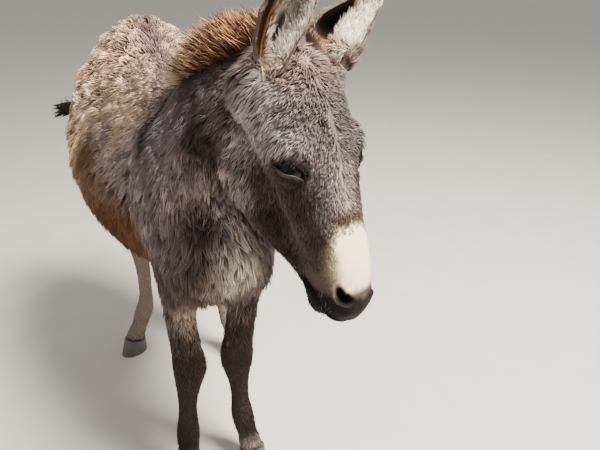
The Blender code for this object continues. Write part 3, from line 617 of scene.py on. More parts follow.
class Tuft:
    """A tapering three-sided tuft, cut into rings by planes, that the coat repeats."""

    def __init__(self, cuts: tuple[float, ...]) -> None:
        """Builds the tuft with its base at 0 and its tip at 1.

        Args:
            cuts: where its rings lie between the base and the tip.
        """
        shape = bmesh.new()
        bmesh.ops.create_cone(
            shape, cap_ends=True, cap_tris=False, segments=3, radius1=1.0, radius2=0.0, depth=1.0,
            matrix=Matrix.Translation((0, 0, 0.5)),
        )
        bmesh.ops.remove_doubles(shape, verts=shape.verts, dist=1e-4)
        for cut in cuts:
            geometry = shape.verts[:] + shape.edges[:] + shape.faces[:]
            bmesh.ops.bisect_plane(shape, geom=geometry, plane_co=(0, 0, cut), plane_no=(0, 0, 1))
        bmesh.ops.triangulate(shape, faces=shape.faces[:])
        bmesh.ops.recalc_face_normals(shape, faces=shape.faces[:])
        points = np.array([corner.co[:] for corner in shape.verts])
        self.faces = np.array([[corner.index for corner in face.verts] for face in shape.faces])
        shape.free()
        self.levels = np.array((0.0, *cuts, 1.0))
        self.level = np.abs(points[:, 2:3] - self.levels).argmin(1)
        thin = np.maximum(1 - points[:, 2], 1e-6)
        self.ring = points[:, :2] / thin[:, None] * (self.level < len(self.levels) - 1)[:, None]


@dataclass
class Locks:
    """The roots of many tufts and how each one grows."""

    root: Array
    normal: Array
    way: Array
    length: Array
    width: Array
    height: Array
    wave: Array
    under: Array
    tip: Array
    leader: Array
    droop: float = 0.12
    flat: float = 0.45
    gather: float = 0.55
    arch: float = 0.7
    sink: float = 0.0012
    turns: float = 5.2

    def curves(self, levels: Array, random: Chance) -> Array:
        """The middle line of every tuft at each level.

        Args:
            levels: shares of the length.
            random: the source of chance.

        Returns:
            An array of tuft, level and coordinate.
        """
        across = unit(np.cross(self.way, self.normal))
        along = self.way[:, None] * (self.length[:, None] * levels)[..., None]
        arc = (1 + self.arch) * levels - self.arch * levels**2
        rise = arc[None, :] * self.height[:, None] - self.sink
        phase = random.uniform(0, 2 * math.pi, len(self.root))
        sway = np.sin(levels[None, :] * self.turns + phase[:, None]) - np.sin(phase)[:, None]
        line = self.root[:, None] + along + self.normal[:, None] * rise[..., None]
        line = line + across[:, None] * (sway * self.wave[:, None] * levels[None, :])[..., None]
        line[..., 2] -= self.droop * self.length[:, None] * levels[None, :] ** 2
        return self._gathered(line, levels, random)

    def _gathered(self, line: Array, levels: Array, random: Chance) -> Array:
        """The lines drawn together into locks towards their tips."""
        pull = (self.gather * levels**1.4 * random.uniform(0.6, 1.2, (len(line), 1))).clip(0, 1)
        return line + (line[self.leader] - line) * pull[..., None]

    @staticmethod
    def leaders(root: Array, herd: int, random: Chance) -> Array:
        """The tuft that each tuft follows, about one for every herd of them."""
        chosen = random.choice(len(root), len(root) // herd, replace=False)
        tree = search_tree(root[chosen])
        return chosen[[tree.find(place)[1] for place in root]]


class Painter:
    """Puts arrays into a mesh: its points, faces, colours and maps."""

    @staticmethod
    def mesh(name: str, points: Array, faces: Array) -> Mesh:
        """A smooth triangle mesh."""
        mesh = bpy.data.meshes.new(name)
        mesh.vertices.add(len(points))
        mesh.vertices.foreach_set("co", np.ascontiguousarray(points, np.float32).ravel())
        mesh.loops.add(faces.size)
        mesh.loops.foreach_set("vertex_index", np.ascontiguousarray(faces, np.int32).ravel())
        mesh.polygons.add(len(faces))
        mesh.polygons.foreach_set("loop_start", np.arange(0, faces.size, 3, dtype=np.int32))
        mesh.polygons.foreach_set("use_smooth", np.ones(len(faces), bool))
        mesh.update(calc_edges=True)
        mesh.validate()
        return mesh

    @staticmethod
    def colour(mesh: Mesh, colours: Array) -> None:
        """Stores one colour for each point."""
        full = np.ones((len(colours), 4), np.float32)
        full[:, :3] = colours
        mesh.attributes.new("coat_colour", "FLOAT_COLOR", "POINT").data.foreach_set("color", full.ravel())

    @staticmethod
    def damp(mesh: Mesh, values: Array) -> None:
        """Stores how damp each point is."""
        mesh.attributes.new("damp", "FLOAT", "POINT").data.foreach_set("value", values.astype(np.float32))

    @staticmethod
    def map(mesh: Mesh, places: Array, name: str) -> None:
        """Stores a map with one place for each point."""
        corners = np.empty(len(mesh.loops), np.int32)
        mesh.loops.foreach_get("vertex_index", corners)
        layer = mesh.uv_layers.new(name=name)
        layer.data.foreach_set("uv", places[corners].astype(np.float32).ravel())


class Groups:
    """The two effects that the finishes share, each a node group."""

    def __init__(self) -> None:
        """Builds both groups."""
        self.strands = self._strands()
        self.mottle = self._mottle()

    @staticmethod
    def noise(tree: NodeTree, scale: float, detail: float = 3.0) -> Node:
        """A noise texture node."""
        node = tree.nodes.new("ShaderNodeTexNoise")
        node.inputs["Scale"].default_value = scale
        node.inputs["Detail"].default_value = detail
        return node

    @staticmethod
    def ramp(
        tree: NodeTree, source: NodeSocket, span: Pair, wanted: Pair,
    ) -> NodeSocket:
        """A value brought from one span to another by a Map Range node."""
        node = tree.nodes.new("ShaderNodeMapRange")
        for label, value in zip(("From Min", "From Max", "To Min", "To Max"), (*span, *wanted)):
            node.inputs[label].default_value = value
        tree.links.new(source, node.inputs["Value"])
        return node.outputs["Result"]

    @staticmethod
    def _empty(name: str, **inputs: float) -> NodeTree:
        """A node group with these number inputs, and a lightness and a height as outputs."""
        group = bpy.data.node_groups.new(name, "ShaderNodeTree")
        for label, value in inputs.items():
            socket = group.interface.new_socket(label, in_out="INPUT", socket_type="NodeSocketFloat")
            socket.default_value = value
        for label in ("Lightness", "Height"):
            group.interface.new_socket(label, in_out="OUTPUT", socket_type="NodeSocketFloat")
        group.nodes.new("NodeGroupInput").name = "in"
        group.nodes.new("NodeGroupOutput").name = "out"
        return group

    @staticmethod
    def _deliver(
        group: NodeTree, value: NodeSocket, span: Pair, height: NodeSocket,
    ) -> None:
        """Ends a group: a lightness round 1 from a value and its span, and a height."""
        nodes, links = group.nodes, group.links
        spread = Groups.ramp(group, value, span, (-1.0, 1.0))
        scaled = nodes.new("ShaderNodeMath")
        scaled.operation = "MULTIPLY_ADD"
        links.new(spread, scaled.inputs[0])
        links.new(nodes["in"].outputs["Contrast"], scaled.inputs[1])
        scaled.inputs[2].default_value = 1.0
        links.new(scaled.outputs["Value"], nodes["out"].inputs["Lightness"])
        links.new(height, nodes["out"].inputs["Height"])

    def _strands(self) -> NodeTree:
        """Fine strands along a tuft: a lightness and a height, from the strand map."""
        group = self._empty("hair_strands", Strands=5.0, Contrast=0.35)
        nodes, links = group.nodes, group.links
        place = nodes.new("ShaderNodeUVMap")
        place.uv_map = "strand"
        stretch = nodes.new("ShaderNodeVectorMath")
        stretch.operation = "MULTIPLY"
        stretch.inputs[1].default_value = (1.0, 0.12, 1.0)
        links.new(place.outputs["UV"], stretch.inputs[0])
        grain = self.noise(group, 5.0, 2.0)
        links.new(stretch.outputs["Vector"], grain.inputs["Vector"])
        links.new(nodes["in"].outputs["Strands"], grain.inputs["Scale"])
        self._deliver(group, grain.outputs["Fac"], (0.3, 0.7), grain.outputs["Fac"])
        return group

    def _mottle(self) -> NodeTree:
        """Soft patches and short flat hair: a lightness and a height, from the object's own places."""
        group = self._empty("short_hair", Patch=30.0, Grain=420.0, Contrast=0.2)
        nodes, links = group.nodes, group.links
        place = nodes.new("ShaderNodeTexCoord")
        squash = nodes.new("ShaderNodeMapping")
        squash.inputs["Scale"].default_value = (1.0, 1.0, 0.28)
        links.new(place.outputs["Object"], squash.inputs["Vector"])
        patch, grain = self.noise(group, 30.0), self.noise(group, 420.0, 2.0)
        links.new(place.outputs["Object"], patch.inputs["Vector"])
        links.new(squash.outputs["Vector"], grain.inputs["Vector"])
        links.new(nodes["in"].outputs["Patch"], patch.inputs["Scale"])
        links.new(nodes["in"].outputs["Grain"], grain.inputs["Scale"])
        both = nodes.new("ShaderNodeMath")
        both.operation = "ADD"
        links.new(patch.outputs["Fac"], both.inputs[0])
        links.new(grain.outputs["Fac"], both.inputs[1])
        self._deliver(group, both.outputs["Value"], (0.6, 1.4), grain.outputs["Fac"])
        return group


class Finish:
    """What every finish shares: short ways to start a material and to fill its tree."""

    def begin(self, name: str, **values: float) -> Material:
        """A new material whose shader has these values on its sockets, with _ for a space."""
        material = bpy.data.materials.new(name)
        material.use_nodes = True
        tree = material.node_tree
        for label, value in values.items():
            tree.nodes["Principled BSDF"].inputs[label.replace("_", " ")].default_value = value
        return material

    @staticmethod
    def wire(tree: NodeTree, source: NodeSocket, label: str) -> None:
        """Leads a socket into the shader."""
        tree.links.new(source, tree.nodes["Principled BSDF"].inputs[label])

    @staticmethod
    def shade(tree: NodeTree, light: NodeSocket) -> None:
        """The stored colours, made lighter or darker by a value, as the shader's colour."""
        stored = tree.nodes.new("ShaderNodeAttribute")
        stored.attribute_name = "coat_colour"
        node = tree.nodes.new("ShaderNodeVectorMath")
        node.operation = "SCALE"
        tree.links.new(stored.outputs["Color"], node.inputs[0])
        tree.links.new(light, node.inputs["Scale"])
        Finish.wire(tree, node.outputs["Vector"], "Base Color")

    @staticmethod
    def effect(tree: NodeTree, group: NodeTree, **values: float) -> Node:
        """A shared group set into a material with its own values."""
        node = tree.nodes.new("ShaderNodeGroup")
        node.node_tree = group
        for label, value in values.items():
            node.inputs[label].default_value = value
        return node

    @staticmethod
    def bump(tree: NodeTree, height: NodeSocket, strength: float, depth: float) -> None:
        """A bump from a height, into the shader."""
        node = tree.nodes.new("ShaderNodeBump")
        node.inputs["Strength"].default_value = strength
        node.inputs["Distance"].default_value = depth
        tree.links.new(height, node.inputs["Height"])
        Finish.wire(tree, node.outputs["Normal"], "Normal")

    @staticmethod
    def grain(tree: NodeTree, scale: float) -> tuple[NodeSocket, NodeSocket]:
        """Noise over the object's own places: its value, and those places."""
        place = tree.nodes.new("ShaderNodeTexCoord").outputs["Object"]
        node = Groups.noise(tree, scale)
        tree.links.new(place, node.inputs["Vector"])
        return node.outputs["Fac"], place

    @staticmethod
    def mix(tree: NodeTree, share: NodeSocket, first: Triple, last: Triple) -> None:
        """The shader's colour, from one colour to another by a share."""
        node = tree.nodes.new("ShaderNodeMix")
        node.data_type = "RGBA"
        node.inputs["A"].default_value = (*first, 1)
        node.inputs["B"].default_value = (*last, 1)
        tree.links.new(share, node.inputs["Factor"])
        Finish.wire(tree, node.outputs["Result"], "Base Color")


@dataclass(frozen=True)
class HairFinish(Finish):
    """Hair: the colours of each tuft, broken by fine strands."""

    strands: float = 5.0
    contrast: float = 0.3
    relief: float = 0.35
    depth: float = 0.0008

    def make(self, groups: Groups, name: str, roughness: float) -> Material:
        """The material under that name, with that roughness."""
        material = self.begin(name, Roughness=roughness, Specular_IOR_Level=0.1)
        tree = material.node_tree
        effect = self.effect(tree, groups.strands, Strands=self.strands, Contrast=self.contrast)
        self.shade(tree, effect.outputs["Lightness"])
        self.bump(tree, effect.outputs["Height"], self.relief, self.depth)
        return material


@dataclass(frozen=True)
class SkinFinish(Finish):
    """Skin under the coat: its markings, with short flat hair as bump, and smoother where it is damp."""

    patch: float = 34.0
    grains: float = 430.0
    contrast: float = 0.12
    relief: float = 0.28
    depth: float = 0.001
    dry_and_damp: Pair = (0.8, 0.42)

    def make(self, groups: Groups) -> Material:
        """The material."""
        material = self.begin("skin", Specular_IOR_Level=0.06)
        tree = material.node_tree
        effect = self.effect(tree, groups.mottle, Patch=self.patch, Grain=self.grains, Contrast=self.contrast)
        self.shade(tree, effect.outputs["Lightness"])
        self.bump(tree, effect.outputs["Height"], self.relief, self.depth)
        damp = tree.nodes.new("ShaderNodeAttribute")
        damp.attribute_name = "damp"
        gloss = Groups.ramp(tree, damp.outputs["Fac"], (0.0, 1.0), self.dry_and_damp)
        self.wire(tree, gloss, "Roughness")
        return material


@dataclass(frozen=True)
class EyeFinish(Finish):
    """A wet, nearly black eye."""

    fleck: float = 260.0

    def make(self) -> Material:
        """The material."""
        material = self.begin(
            "eye", Roughness=0.06, Specular_IOR_Level=0.11, Coat_Weight=0.08, Coat_Roughness=0.03,
        )
        tree = material.node_tree
        fleck, _ = self.grain(tree, self.fleck)
        self.shade(tree, Groups.ramp(tree, fleck, (0.3, 0.7), (0.7, 1.3)))
        return material


@dataclass(frozen=True)
class HornFinish(Finish):
    """Grey-brown horn with rings of growth and dust."""

    dark: Triple = (0.04, 0.034, 0.028)
    pale: Triple = (0.135, 0.115, 0.092)
    dust: float = 60.0
    rings: float = 60.0
    unrest: float = 1.6
    ring_share: float = 0.18

    def make(self) -> Material:
        """The material."""
        material = self.begin("hoof_horn", Roughness=0.42)
        tree = material.node_tree
        dust, place = self.grain(tree, self.dust)
        rings = tree.nodes.new("ShaderNodeTexWave")
        rings.bands_direction = "Z"
        rings.inputs["Scale"].default_value = self.rings
        rings.inputs["Distortion"].default_value = self.unrest
        rings.inputs["Detail Scale"].default_value = 2.0
        tree.links.new(place, rings.inputs["Vector"])
        blend = tree.nodes.new("ShaderNodeMath")
        blend.operation = "MULTIPLY_ADD"
        tree.links.new(rings.outputs["Fac"], blend.inputs[0])
        blend.inputs[1].default_value = self.ring_share
        tree.links.new(dust, blend.inputs[2])
        self.mix(tree, blend.outputs["Value"], self.dark, self.pale)
        self.bump(tree, blend.outputs["Value"], 0.35, 0.001)
        return material


@dataclass(frozen=True)
class FloorFinish(Finish):
    """A plain pale floor with a faint grain."""

    first: Triple = (0.64, 0.575, 0.49)
    last: Triple = (0.72, 0.655, 0.565)

    def make(self) -> Material:
        """The material."""
        material = self.begin("floor", Roughness=0.9)
        cloud, _ = self.grain(material.node_tree, 9.0)
        self.mix(material.node_tree, cloud, self.first, self.last)
        return material


class Finishes:
    """Every material of the donkey and its floor."""

    def __init__(self) -> None:
        """Builds the shared groups first, then each material."""
        groups = Groups()
        self.coat = HairFinish().make(groups, "coat", 0.62)
        self.skin = SkinFinish().make(groups)
        self.mane = HairFinish().make(groups, "mane_hair", 0.5)
        self.eye = EyeFinish().make()
        self.horn = HornFinish().make()
        self.floor = FloorFinish().make()



@dataclass(frozen=True)
class Line:
    """A line pressed or raised along the lips: how far, where beside the mouth's line, and how wide."""

    move: float
    beside: float
    width: float


@dataclass
class Skin:
    """The one skin of the donkey, from the nodes of flesh, with what the coat needs to know at each point."""

    pose: HeadPose
    ears: dict[str, EarPose]
    head_voxel: float = 0.0041
    body_voxel: float = 0.0092
    ear_voxel: float = 0.0031
    push: float = 0.001
    under_share: float = 0.72
    tip_share: float = 0.28
    fine_from: float = 0.34
    fine_round_eye: float = 0.044
    seam: Pair = (0.006, 0.02)
    nose_along: Pair = (0.4, 0.425)
    nose_out: Pair = (-0.095, -0.07)
    lid_radius: float = 0.0246
    lid_reach: Pair = (0.018, 0.034)
    opening_from: float = 0.008
    opening_depth: float = 0.04
    nostril_place: Triple = (0.403, -0.03, 0.041)
    nostril_out: Triple = (0.1, 0.5, 0.86)
    nostril_run: Triple = (0.9, 0.3, -0.3)
    nostril_half: Pair = (0.02, 0.0105)
    nostril_bend: float = 14.0
    nostril_rim: float = 0.0018
    nostril_pit: float = 0.015
    far_cheek: float = 0.0045
    bridge: float = 0.007
    bridge_reach: float = 0.016
    lips: tuple[Line, ...] = (
        Line(-0.0042, 0.0, 0.003),
        Line(0.0022, -0.0105, 0.006),
        Line(0.0012, 0.008, 0.0045),
    )
    mouth_along: tuple[float, ...] = (0.35, 0.381, 0.407, 0.433, 0.447)
    mouth_out: tuple[float, ...] = (-0.112, -0.099, -0.086, -0.068, -0.056)
    ear_thinner: float = 0.0012
    ear_deeper: float = 0.022
    blend_power: float = 2.2
    lid_top: tuple[Pair, ...] = (
        (-0.027, -0.004), (-0.022, 0.001), (-0.013, 0.006), (-0.002, 0.009), (0.009, 0.01),
        (0.018, 0.008), (0.025, 0.0025), (0.03, -0.0045),
    )
    lid_low: tuple[Pair, ...] = (
        (-0.027, -0.004), (-0.021, -0.0068), (-0.014, -0.009), (-0.006, -0.0102), (0.001, -0.0088),
        (0.007, -0.006), (0.014, -0.0047), (0.022, -0.0052), (0.03, -0.0045),
    )

    def make(self) -> Object:
        """Casts, insets and joins the skin, then reads what the coat needs."""
        body = tuple(node for node in FLESH if node != "head")
        self.thing = Maker.cast("skin", body, self.body_voxel, self.push, 3)
        face = Maker.cast("head_part", ("head", "eye_left", "eye_right"), self.head_voxel, self.push, 3)
        self._refine(face)
        Maker.join(self.thing, face, "UNION")
        self._keep_largest()
        shell = Shell.read(self.thing.data)
        Maker.move(self.thing, shell.spread(shell.points, 14, self._near_seam(shell) * 0.6))
        shell = Shell.read(self.thing.data)
        depth = self.facts(shell)["depth"]
        normals = unit(shell.spread(shell.normals, 4))
        points = shell.spread(shell.points - normals * depth[:, None], 3)
        points = shell.spread(points, 18, self._nose(points) * 0.5)
        Maker.move(self.thing, self._muzzle(self._lids(points), normals))
        for node in EARS:
            Maker.join(self.thing, self._ear(node), "UNION")
        for side in (1, -1):
            Maker.join(self.thing, self._opening(side), "DIFFERENCE")
        self._keep_largest()
        mesh = self.thing.data
        self.shell = Shell.read(mesh)
        self.values = self.facts(self.shell)
        # The skin takes mostly the roots' colour, so the gaps between tufts read dark: partly the coat's own
        # dark base and partly painted shade deep in the coat.
        Painter.colour(mesh, self.values["under"] * self.under_share + self.values["tip"] * self.tip_share)
        Painter.damp(mesh, self.values["damp"])
        Maker.smooth(mesh)
        return self.thing

    def _nose(self, points: Array) -> Array:
        """How much each point belongs to the rounded end of the nose."""
        along, out, _ = self.pose.inward(points).T
        return smooth_step(*self.nose_along, along) * smooth_step(*self.nose_out, out)

    def _refine(self, face: Object) -> None:
        """Gives the cast of the head a finer mesh at the muzzle and round the eyes."""
        points = Shell.read(face.data).points
        fine = self.pose.inward(points)[:, 0] > self.fine_from
        for side in (1, -1):
            fine |= np.linalg.norm(points - self.eye_axes(side)[0], axis=1) < self.fine_round_eye
        shape = bmesh.new()
        shape.from_mesh(face.data)
        shape.verts.ensure_lookup_table()
        chosen = [edge for edge in shape.edges if fine[edge.verts[0].index] and fine[edge.verts[1].index]]
        bmesh.ops.subdivide_edges(shape, edges=chosen, cuts=1, use_grid_fill=True)
        shape.to_mesh(face.data)
        shape.free()
        shell = Shell.read(face.data)
        Maker.move(face, shell.spread(shell.points, 2))

    def _muzzle(self, points: Array, normals: Array) -> Array:
        """The nostrils, the line of the mouth, the lips, the far cheek and the bridge, worked into the face.

        Args:
            points: the skin's points.
            normals: their normals.

        Returns:
            The points, moved.
        """
        local = self.pose.inward(points)
        along, out, left = local.T
        move = np.zeros(len(points))
        for side in (1, -1):
            spot, hole = self.nostril(local, side)
            beside = np.abs(spot[:, 2])
            rim = hump(hole - 1.28, 0.26) * (spot[:, 2] > -0.012) * (beside < 0.03)
            move += rim * self.nostril_rim * (1.2 - 0.8 * smooth_step(-0.006, 0.01, spot[:, 1]))
            pit = (1 - smooth_step(0.55, 1.05, hole)) * (beside < 0.025)
            move -= pit * self.nostril_pit
        cheek = self.far_cheek * smooth_step(0.012, 0.045, left) * smooth_step(0.09, 0.15, along)
        move += cheek * smooth_step(0.405, 0.36, along) * (out > -0.06)
        gap = (along - 0.272) ** 2 + np.maximum(np.abs(left) - 0.018, 0) ** 2
        move += self.bridge * np.exp(-gap / self.bridge_reach**2) * (out > -0.05)
        mouth, near = self.mouth_line(along), smooth_step(0.352, 0.372, along)
        for line in self.lips:
            move += near * line.move * hump(out - mouth - line.beside, line.width)
        return points + normals * move[:, None]

    def nostril(self, local: Array, side: int) -> tuple[Array, Array]:
        """Points of the head along, across and out of one nostril, and how far out each is, 1 at its rim."""
        mirror = np.array((1, 1, side))
        out = unit(np.array(self.nostril_out))
        run = np.array(self.nostril_run)
        run = unit(run - out * (run @ out))
        axes = np.stack((run, np.cross(out, run), out)) * mirror
        if axes[1][1] < 0:
            axes[1] = -axes[1]
        spot = (local - np.array(self.nostril_place) * mirror) @ axes.T
        bent = spot[:, 1] - self.nostril_bend * spot[:, 0] ** 2 + 0.0015
        return spot, np.hypot(spot[:, 0] / self.nostril_half[0], bent / self.nostril_half[1])

    def mouth_line(self, along: Array) -> Array:
        """How far out of the face the line between the lips lies."""
        return np.interp(along, self.mouth_along, self.mouth_out)

    def _keep_largest(self) -> None:
        """Drops any crumb that the casting leaves beside the skin."""
        shape = bmesh.new()
        shape.from_mesh(self.thing.data)
        shape.verts.ensure_lookup_table()
        group = np.full(len(shape.verts), -1)
        sizes = []
        for start in shape.verts:
            if group[start.index] >= 0:
                continue
            group[start.index] = len(sizes)
            stack, count = [start], 0
            while stack:
                corner = stack.pop()
                count += 1
                for edge in corner.link_edges:
                    other = edge.other_vert(corner)
                    if group[other.index] < 0:
                        group[other.index] = len(sizes)
                        stack.append(other)
            sizes.append(count)
        largest = int(np.argmax(sizes))
        crumbs = [corner for corner in shape.verts if group[corner.index] != largest]
        bmesh.ops.delete(shape, geom=crumbs, context="VERTS")
        bmesh.ops.triangulate(shape, faces=[face for face in shape.faces if len(face.verts) > 4])
        shape.to_mesh(self.thing.data)
        shape.free()

    def _near_seam(self, shell: Shell) -> Array:
        """How near each point is to where the head joins the neck, from 0 to 1."""
        head, other = self._tree("head"), self._tree("neck", "trunk")
        gap = np.array([abs(head.find(place)[2] - other.find(place)[2]) for place in shell.points])
        return 1 - smooth_step(*self.seam, gap)

    @staticmethod
    def _tree(*nodes: str) -> kdtree.KDTree:
        """A search tree over the faces and corners of CAD nodes."""
        places = []
        for node in nodes:
            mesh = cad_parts[node].data
            places += [corner.co.copy() for corner in mesh.vertices]
            places += [face.center.copy() for face in mesh.polygons]
        return search_tree(places)

    def eye_axes(self, side: int) -> tuple[Array, Array]:
        """The middle of an eye, and rows for its slit, its upper lid and the way it looks."""
        mirror = np.array((1, 1, side))
        slit, look = np.array((0.68, 0.56, -0.48)), np.array((0.0, 0.652, 0.758))
        upper = -np.cross(look, slit)
        rows = np.stack((slit, upper, look))
        if rows[1][0] > 0:
            rows[1] = -rows[1]
        return self.pose.place(EYE_PLACE * mirror), self.pose.turn(rows * mirror)

    def into_place(self, shape: bmesh.types.BMesh, side: int) -> None:
        """Turns and moves a working shape from the frame of an eye into the model."""
        centre, axes = self.eye_axes(side)
        matrix = Matrix.Translation(Vector(centre)) @ Matrix(axes.T.tolist()).to_4x4()
        bmesh.ops.transform(shape, matrix=matrix, verts=shape.verts[:])
        bmesh.ops.recalc_face_normals(shape, faces=shape.faces[:])

    def _lids(self, points: Array) -> Array:
        """The points round each eye laid over the ball as lids."""
        for side in (1, -1):
            centre, axes = self.eye_axes(side)
            local = (points - centre) @ axes.T
            reach = np.linalg.norm(local, axis=1)
            oval = np.hypot(local[:, 0] / 1.25, local[:, 1])
            pull = (1 - smooth_step(*self.lid_reach, oval)) * (local[:, 2] > -0.004) * (reach < 0.06)
            wanted = centre + (points - centre) / reach[:, None].clip(1e-6) * self.lid_radius
            points = points + (wanted - points) * pull[:, None]
        return points

    def lid_line(self, share: Array | float, upper: Array | bool) -> tuple[Array, Array]:
        """Where the edge of a lid lies.

        Args:
            share: how far along the slit, from -1 at its outer corner to 1 at its inner corner.
            upper: whether the upper lid is wanted.

        Returns:
            The places along the slit and above it.
        """
        outer, inner = self.lid_top[0][0], self.lid_top[-1][0]
        along = (outer + inner) / 2 + (inner - outer) / 2 * share
        top, low = (np.interp(along, *zip(*line)) for line in (self.lid_top, self.lid_low))
        return along, np.where(upper, top, low)

    def _opening(self, side: int) -> Object:
        """The almond that is cut out between the lids of one eye."""
        shape = bmesh.new()
        bmesh.ops.create_circle(shape, cap_ends=True, segments=56, radius=1.0)
        for corner in shape.verts:
            corner.co.x, corner.co.y = self.lid_line(corner.co.x, corner.co.y > 0)
        bmesh.ops.remove_doubles(shape, verts=shape.verts, dist=2e-4)
        raised = bmesh.ops.extrude_face_region(shape, geom=shape.faces[:])["geom"]
        top = [item for item in raised if isinstance(item, bmesh.types.BMVert)]
        bmesh.ops.translate(shape, verts=top, vec=(0, 0, self.opening_depth))
        bmesh.ops.translate(shape, verts=shape.verts[:], vec=(0, 0, self.opening_from))
        self.into_place(shape, side)
        return Maker.hang("opening", Maker.pour("opening", shape))

    def _ear(self, node: str) -> Object:
        """One ear, cast from its node, with its root drawn down into the head."""
        ear = Maker.cast(node + "_part", (node,), self.ear_voxel, 0.0, 2)
        shell = Shell.read(ear.data)
        pose = self.ears[node]
        spot = pose.inward(shell.points)
        share = spot[:, 2] / EAR_LENGTH
        thin = self.ear_thinner * smooth_step(0.02, 0.15, share)
        points = shell.points - unit(shell.spread(shell.normals, 2)) * thin[:, None]
        points -= pose.axes[2] * (self.ear_deeper * (1 - smooth_step(-0.1, 0.06, share)))[:, None]
        mid, half = pose.span(share)
        points += pose.axes[0] * (mid + spot[:, 0] * (half / pose.half(share) - 1))[:, None]
        Maker.move(ear, points)
        return ear

    def facts(self, shell: Shell) -> dict[str, Array]:
        """What the coat is like at each point of a shell.

        Args:
            shell: the skin's points.

        Returns:
            Arrays of part, way, depth, length, width, lift, wave, under, tip, damp, bare and local place.
        """
        trees = [self._tree(name) for name in PARTS]
        reach = np.array([[tree.find(place)[2] for tree in trees] for place in shell.points])
        part = reach.argmin(1)
        local = self.pose.inward(shell.points)
        head = self._blend(local, HEAD_SPOTS, 2)
        head[:, 0:3] = self.pose.turn(head[:, 0:3])
        body = self._blend(shell.points - self.pose.shift * np.array((1, 1, 0)), BODY_SPOTS, 0)
        on_head = (part == HEAD) | (part >= len(FLESH))
        rows = shell.spread(np.where(on_head[:, None], head, body), 10)
        facts = {
            "part": part, "way": rows[:, 0:3], "depth": rows[:, 3], "length": rows[:, 4], "width": rows[:, 5],
            "lift": rows[:, 6], "wave": rows[:, 7], "under": rows[:, 8:11], "tip": rows[:, 11:14],
            "damp": np.zeros(len(part)), "bare": np.zeros(len(part), bool), "local": local,
        }
        tail = part == PARTS.index("tail")
        facts["under"][tail], facts["tip"][tail] = Hair.TAIL.colours
        MarkingsAndPaintedLight(self, shell, facts).paint()
        return facts

    def _blend(self, places: Array, spots: tuple[Spot, ...], axis: int) -> Array:
        """Each place's blend of the spots round it, mirrored across one axis."""
        table = np.array([row for spot in spots for row in spot.rows(axis)])
        gaps = ((places[:, None] - table[None, :, :3]) ** 2).sum(-1)
        weights = 1.0 / (gaps**self.blend_power + 1e-10)
        weights /= weights.sum(1, keepdims=True)
        return weights @ table[:, 3:]


